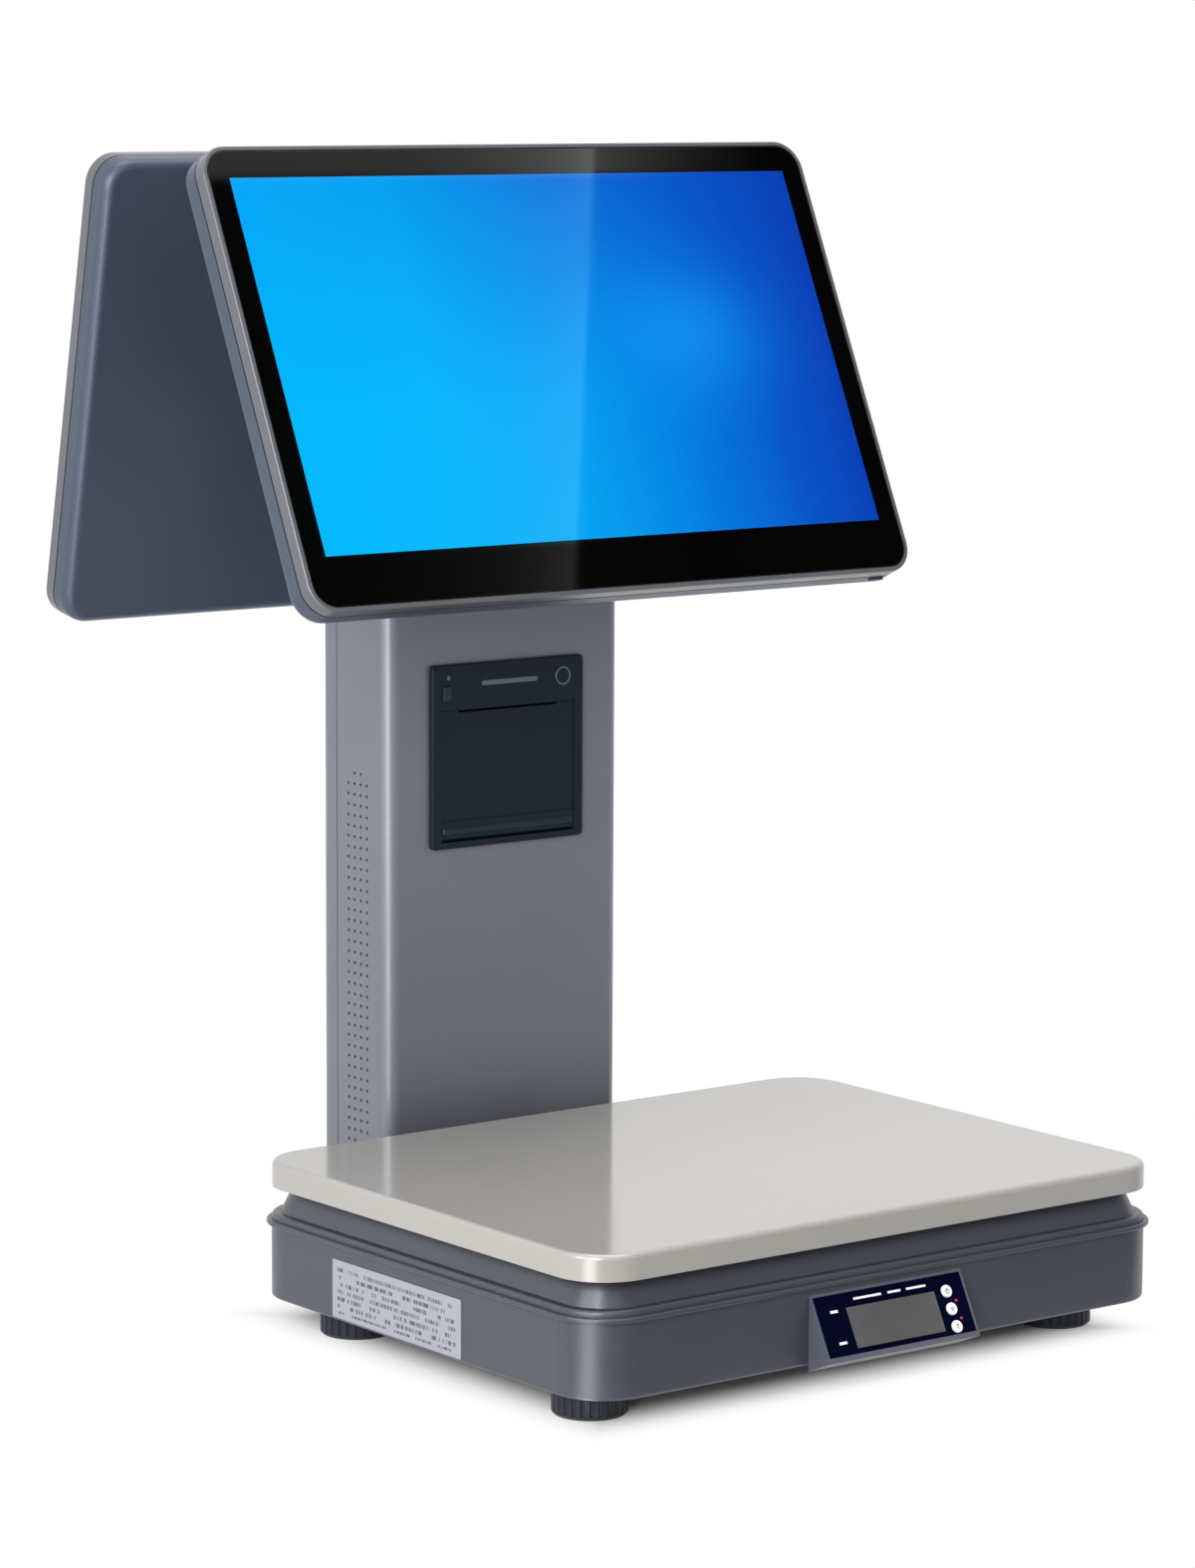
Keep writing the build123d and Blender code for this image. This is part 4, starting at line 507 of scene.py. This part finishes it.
# printed marks on the weight display's sloping face. PRINT is their thickness. Bars are given
# across and up from the film's middle, then width and height, and all that is in millimetres
PRINT = 0.06 * MM
WHITE_BARS = ((-34.8, 6.6, 4.6, 1.3), (-34.8, -8.6, 4.6, 1.3), (-13.0, 11.0, 17.0, 1.1),
              (3.5, 11.0, 8.0, 1.1), (17.0, 11.0, 12.0, 1.1))
RED_MARKS = ((38.6, 1.4), (38.6, -7.3))
RED_MARK = (1.6, 1.2)
slope_out = flat_normal("display_overlay", Z - Y)
slope_up = slope_out.cross(X)
overlay_middle = middle_of("display_overlay")
overlay_face = overlay_middle + slope_out * (reach("display_overlay", slope_out)[1]
                                             - overlay_middle.dot(slope_out))


def on_overlay(across, up):
    """A point on the display film, in millimetres from its middle."""
    return overlay_face + (X * across + slope_up * up) * MM


def printed(name, middle, size, finish, body):
    """A thin printed bar on the sloping face, its size across and up in millimetres."""
    mesh = block(name, middle, X, slope_up, slope_out, (size[0] * MM, size[1] * MM, PRINT))
    return piece(name, mesh, finish, body)


for index, (across, up, width, height) in enumerate(WHITE_BARS):
    printed(f"display_mark_{index + 1}", on_overlay(across, up), (width, height),
            finishes["key_white"], "stand")
for index, (across, up) in enumerate(RED_MARKS):
    printed(f"red_mark_{index + 1}", on_overlay(across, up), RED_MARK, finishes["mark_red"],
            "stand")

# signs on the display keys, in millimetres: a ring with a stroke, a small ring and a T
SIGN_LINE = 0.3
SIGN_STROKE = (0.35, 1.6)
SIGN_ARM = (1.7, 0.35)


def key_face(body):
    """The middle of a display key's outer face."""
    centre = middle_of(body)
    return centre + slope_out * (reach(body, slope_out)[1] - centre.dot(slope_out))


def sign_ring(index, radius):
    body = f"scale_key_{index}"
    section = ring_section((radius - SIGN_LINE) * MM, radius * MM, PRINT / 2)
    mesh = lathe(f"key_mark_{index}", section, key_face(body), slope_out, 32)
    piece(f"key_mark_{index}", mesh, finishes["port_black"], body)


def sign_bar(name, index, up, size):
    body = f"scale_key_{index}"
    printed(name, key_face(body) + slope_up * up * MM, size, finishes["port_black"], body)


sign_ring(1, 1.15)
sign_bar("key_bar_1", 1, 0.7, SIGN_STROKE)
sign_ring(2, 0.8)
sign_bar("key_bar_3", 3, 0.0, SIGN_STROKE)
sign_bar("key_arm_3", 3, 0.95, SIGN_ARM)

# ---------------------------------------------------------------- studio
RAYS = ("camera", "diffuse", "glossy", "transmission", "shadow")
FLOOR_WIDTH = 14.0
FLOOR_THICK = 1.0 * MM
FLOOR_DROP = 0.6 * MM
FLOOR_GREY = 0.82
# how far past the base and the column's foot the floor turns from shadowed to plain white
SHADOW_FROM = -0.045
SHADOW_TO = 0.005
AMBIENT = 0.36
AMBIENT_TINT = (0.97, 0.98, 1.0, 1.0)


def seen_directly(n):
    """1 for camera, glossy and transmission rays, 0 for the rays that carry light about."""
    path = n.add("ShaderNodeLightPath")
    direct = n.math("MAXIMUM", path.outputs["Is Camera Ray"], path.outputs["Is Glossy Ray"])
    return n.math("MAXIMUM", direct, path.outputs["Is Transmission Ray"])


def past_box(n, low, high):
    """Signed distance in plan from a box, below 0 under it."""
    middle, half = (low + high) / 2, (high - low) / 2
    half.z = 1.0  # so high that only the distance in plan counts
    vector = n.vector_math("SUBTRACT", n.place, middle)
    vector = n.vector_math("SUBTRACT", n.vector_math("ABSOLUTE", vector), half)
    clear = n.vector_math("MAXIMUM", vector, Vector())
    outside = n.add("ShaderNodeVectorMath", {0: clear}, operation="LENGTH").outputs["Value"]
    parts = n.add("ShaderNodeSeparateXYZ", {0: vector}).outputs
    return n.math("ADD", outside, n.math("MINIMUM", n.math("MAXIMUM", parts[0], parts[1]), 0.0))


def floor_finish():
    """Pale floor that keeps the shadow under the object and is plain white farther out."""
    n = Nodes("floor")
    pale = n.add("ShaderNodeBsdfDiffuse", {"Color": grey(FLOOR_GREY)})
    white = n.emission(WHITE)
    base, foot = (past_box(n, *corners_of(node)) for node in ("lower_housing", "column_foot"))
    away = n.math("MINIMUM", base, foot)
    far = n.add("ShaderNodeMapRange", {"Value": away, "From Min": SHADOW_FROM,
                                       "From Max": SHADOW_TO},
                interpolation_type="SMOOTHSTEP").outputs["Result"]
    share = n.math("MULTIPLY", far, seen_directly(n))
    return n.surface(n.add("ShaderNodeMixShader", {0: share, 1: pale.outputs[0],
                                                   2: white.outputs[0]}))


def stage_piece(name, mesh, material, rays=RAYS):
    """A piece of the studio that only the named kinds of ray can see."""
    thing = bpy.data.objects.new(name, mesh)
    bpy.context.scene.collection.objects.link(thing)
    mesh.materials.append(material)
    for ray in RAYS:
        setattr(thing, f"visible_{ray}", ray in rays)
    return thing


stage_piece("floor", block("floor", -Z * FLOOR_DROP, X, Y, Z,
                           (FLOOR_WIDTH, FLOOR_WIDTH, FLOOR_THICK)), floor_finish())


def card_finish(name, level):
    """A glowing sheet with a slight cloth mottle, which isn't sampled as a lamp."""
    n = Nodes(name)
    material = n.surface(n.emission(n.shades(n.noise(3.0, 2.0), grey(level), 0.1)))
    material.cycles.emission_sampling = "NONE"
    return material


def wedge(name, tip, along, length, spread):
    """A flat triangle from tip, its half width growing by spread with the distance."""
    mesh = bpy.data.meshes.new(name)
    far = tip + along * length
    side = Z.cross(along) * length * spread
    mesh.from_pydata([tip, far + side, far - side], [], [(0, 1, 2)])
    return mesh


# painted shade: the grey card at the right and the grey sheet before the base are dark sheets the
# camera doesn't see, which darken what mirrors them and the light bounced onto the parts near them
CARD_PLACE = Vector((1.61, -1.63, 1.25))
CARD_OUT = Vector((0.70, -0.71, 0.0)).normalized()
CARD_SIZE = (3.4, 2.5, 10.0 * MM)
CARD_LEVEL = 0.35
stage_piece("grey_card", block("grey_card", CARD_PLACE, Z.cross(CARD_OUT), Z, CARD_OUT, CARD_SIZE),
            card_finish("grey_card", CARD_LEVEL), ("diffuse", "glossy", "transmission"))
SHEET_THICK = 0.4 * MM
SHEET_PLACE = Vector((0.15, -0.64, 0.8 * MM))
SHEET_SIZE = (1.5, 0.78, SHEET_THICK)
SHEET_LEVEL = 0.4
stage_piece("grey_sheet", block("grey_sheet", SHEET_PLACE, X, Y, Z, SHEET_SIZE),
            card_finish("grey_sheet", SHEET_LEVEL), ("diffuse", "glossy"))

# the light that makes the narrow highlights on the upright corners towards the camera
CORNER_INSET = 26.0 * MM
CORNER_LIFT = 1.6 * MM
CORNER_ALONG = Vector((-0.906, -0.423, 0.0))
CORNER_LENGTH = 2.0
CORNER_SPREAD = 0.22
CORNER_LEVEL = 4.6
tray_low, tray_high = corners_of("platter")
corner_foot = Vector((tray_low.x + CORNER_INSET, tray_low.y + CORNER_INSET, CORNER_LIFT))
stage_piece("corner_sheet", wedge("corner_sheet", corner_foot, CORNER_ALONG, CORNER_LENGTH,
                                  CORNER_SPREAD),
            card_finish("corner_sheet", CORNER_LEVEL), ("glossy",))


def world_light():
    """White where it is seen, softer where it lights the object."""
    n = Nodes("studio", "World")
    ambient, white = (n.add("ShaderNodeBackground", {"Color": colour, "Strength": strength})
                      for colour, strength in ((AMBIENT_TINT, AMBIENT), (WHITE, 1.0)))
    return n.surface(n.add("ShaderNodeMixShader", {0: seen_directly(n), 1: ambient.outputs[0],
                                                   2: white.outputs[0]}))


bpy.context.scene.world = world_light()


def lamp(name, place, aim, size, watts):
    """A rectangular softbox at place, turned to aim."""
    light = bpy.data.lights.new(name, "AREA")
    light.shape = "RECTANGLE"
    light.size, light.size_y = size
    light.energy = watts
    thing = bpy.data.objects.new(name, light)
    thing.location = place
    thing.rotation_euler = (Vector(aim) - Vector(place)).to_track_quat("-Z", "Y").to_euler()
    bpy.context.scene.collection.objects.link(thing)
    return thing


lamp("left_softbox", place=(-2.25, -0.45, 1.1), aim=(0.0, 0.0, 0.3), size=(1.4, 1.8), watts=27.0)
lamp("corner_strip", place=(-1.85, -1.5, 0.9), aim=(0.0, 0.0, 0.25), size=(0.35, 1.6), watts=31.0)
front = lamp("front_softbox", place=(1.0, -1.5, 1.1), aim=(0.0, 0.0, 0.25), size=(1.2, 1.2),
             watts=7.0)
lamp("top_softbox", place=(0.1, -0.1, 2.4), aim=(0.0, 0.0, 0.1), size=(1.8, 1.8), watts=24.0)
rear = lamp("rear_fill", place=(1.5, 1.8, 1.3), aim=(0.0, 0.0, 0.2), size=(1.2, 1.2), watts=18.0)
front.visible_glossy = rear.visible_glossy = False

# ---------------------------------------------------------------- camera
CAMERA_LENS = 118.24
CAMERA_SENSOR = 36.0
CAMERA_CLIP = 60.0
CAMERA_YAW = math.radians(-37.5962)
CAMERA_PITCH = math.radians(-8.0595)
CAMERA_ROLL = math.radians(-0.2676)
CAMERA_FROM_TRAY = Vector((-1.372527, -1.783983, 0.534123))
camera_data = bpy.data.cameras.new("camera")
camera_data.lens = CAMERA_LENS
camera_data.sensor_width = CAMERA_SENSOR
camera_data.clip_end = CAMERA_CLIP
camera = bpy.data.objects.new("camera", camera_data)
camera.rotation_mode = "QUATERNION"
turned = Matrix.Rotation(CAMERA_YAW, 3, "Z") @ Matrix.Rotation(CAMERA_PITCH, 3, "X") \
    @ Matrix.Rotation(CAMERA_ROLL, 3, "Y")
look = Matrix((turned @ X, turned @ Z, turned @ -Y)).transposed()
camera.location = Vector((tray_low.x, tray_low.y, tray_high.z)) + CAMERA_FROM_TRAY
camera.rotation_quaternion = look.to_quaternion()
bpy.context.scene.collection.objects.link(camera)
bpy.context.scene.camera = camera

# ---------------------------------------------------------------- glare on the cashier's glass
GLARE_DISTANCE = 1.2
GLARE_SIZE = (3.0, 2.6)
# the glare in shares of half the glass: where its crisp edge is and leans, how soft that is and
# how far the glare reaches to the left of it
GLARE_EDGE = 0.058
GLARE_SLANT = 0.2325
GLARE_SOFT = 0.006
GLARE_REACH = 0.17
BORDER_SOFT = 0.02
BORDER_GAIN = 1.9
GLARE_ON_IMAGE = (0.42, 1.9, 1.6, 1.0)
GLARE_ON_BORDER = grey(0.42)
SHELF = [(0.0, grey(0.57)), (0.35, grey(0.57)), (0.63, grey(1.0)), (0.73, grey(0.46)),
         (0.82, grey(0.16)), (0.93, grey(0.0))]


def glare_finish(lit_top, lit_bottom):
    """Soft light with a slanted crisp edge, brightest over the glass's top border."""
    n = Nodes("glare_card")
    side, height = n.dot(X), n.dot(Y)
    past = n.math("SUBTRACT", n.math("MULTIPLY_ADD", height, GLARE_SLANT, GLARE_EDGE), side)
    left = n.spread(past, 0.0, 1.0, -GLARE_SOFT, GLARE_SOFT)
    band = n.math("MULTIPLY", left, n.math("EXPONENT", n.math("DIVIDE", past, -GLARE_REACH)))
    top = n.spread(height, 0.0, 1.0, lit_top - BORDER_SOFT, lit_top + BORDER_SOFT)
    bottom = n.spread(height, 1.0, 0.0, lit_bottom - BORDER_SOFT, lit_bottom + BORDER_SOFT)
    bordered = n.math("MINIMUM", n.math("ADD", top, bottom), 1.0)
    tint = n.mix(bordered, GLARE_ON_IMAGE, GLARE_ON_BORDER)
    gain = n.math("MULTIPLY", band, n.math("MULTIPLY_ADD", top, BORDER_GAIN, 1.0))
    shelf = n.ramp(n.math("MULTIPLY_ADD", side, 0.5, 0.5), SHELF)
    both = n.vector_math("ADD", n.scaled(tint, gain), n.scaled(shelf, top))
    return n.surface(n.emission(both))


lit_rise = cashier.lit_middle - cashier.middle.dot(cashier.up)
lit_top = (lit_rise + LIT_HEIGHT / 2) / cashier.half_height
lit_bottom = (lit_rise - LIT_HEIGHT / 2) / cashier.half_height
to_camera = camera.location - cashier.middle
camera_foot = Vector((to_camera.dot(cashier.across), to_camera.dot(cashier.up)))
camera_height = to_camera.dot(cashier.out)
growth = (camera_height + GLARE_DISTANCE) / camera_height
card_middle = camera_foot * (1.0 - growth)
card = stage_piece("glare_card", block("glare_card", Vector(), X, Y, Z,
                                       (*GLARE_SIZE, SHEET_THICK)),
                   glare_finish(lit_top, lit_bottom), ("glossy",))
card.matrix_world = Matrix.Translation(cashier.point(*card_middle, GLARE_DISTANCE)) \
    @ Matrix((cashier.across * cashier.half_width * growth,
              cashier.up * cashier.half_height * growth, cashier.out)).transposed().to_4x4()

bpy.context.scene.view_settings.view_transform = "Standard"
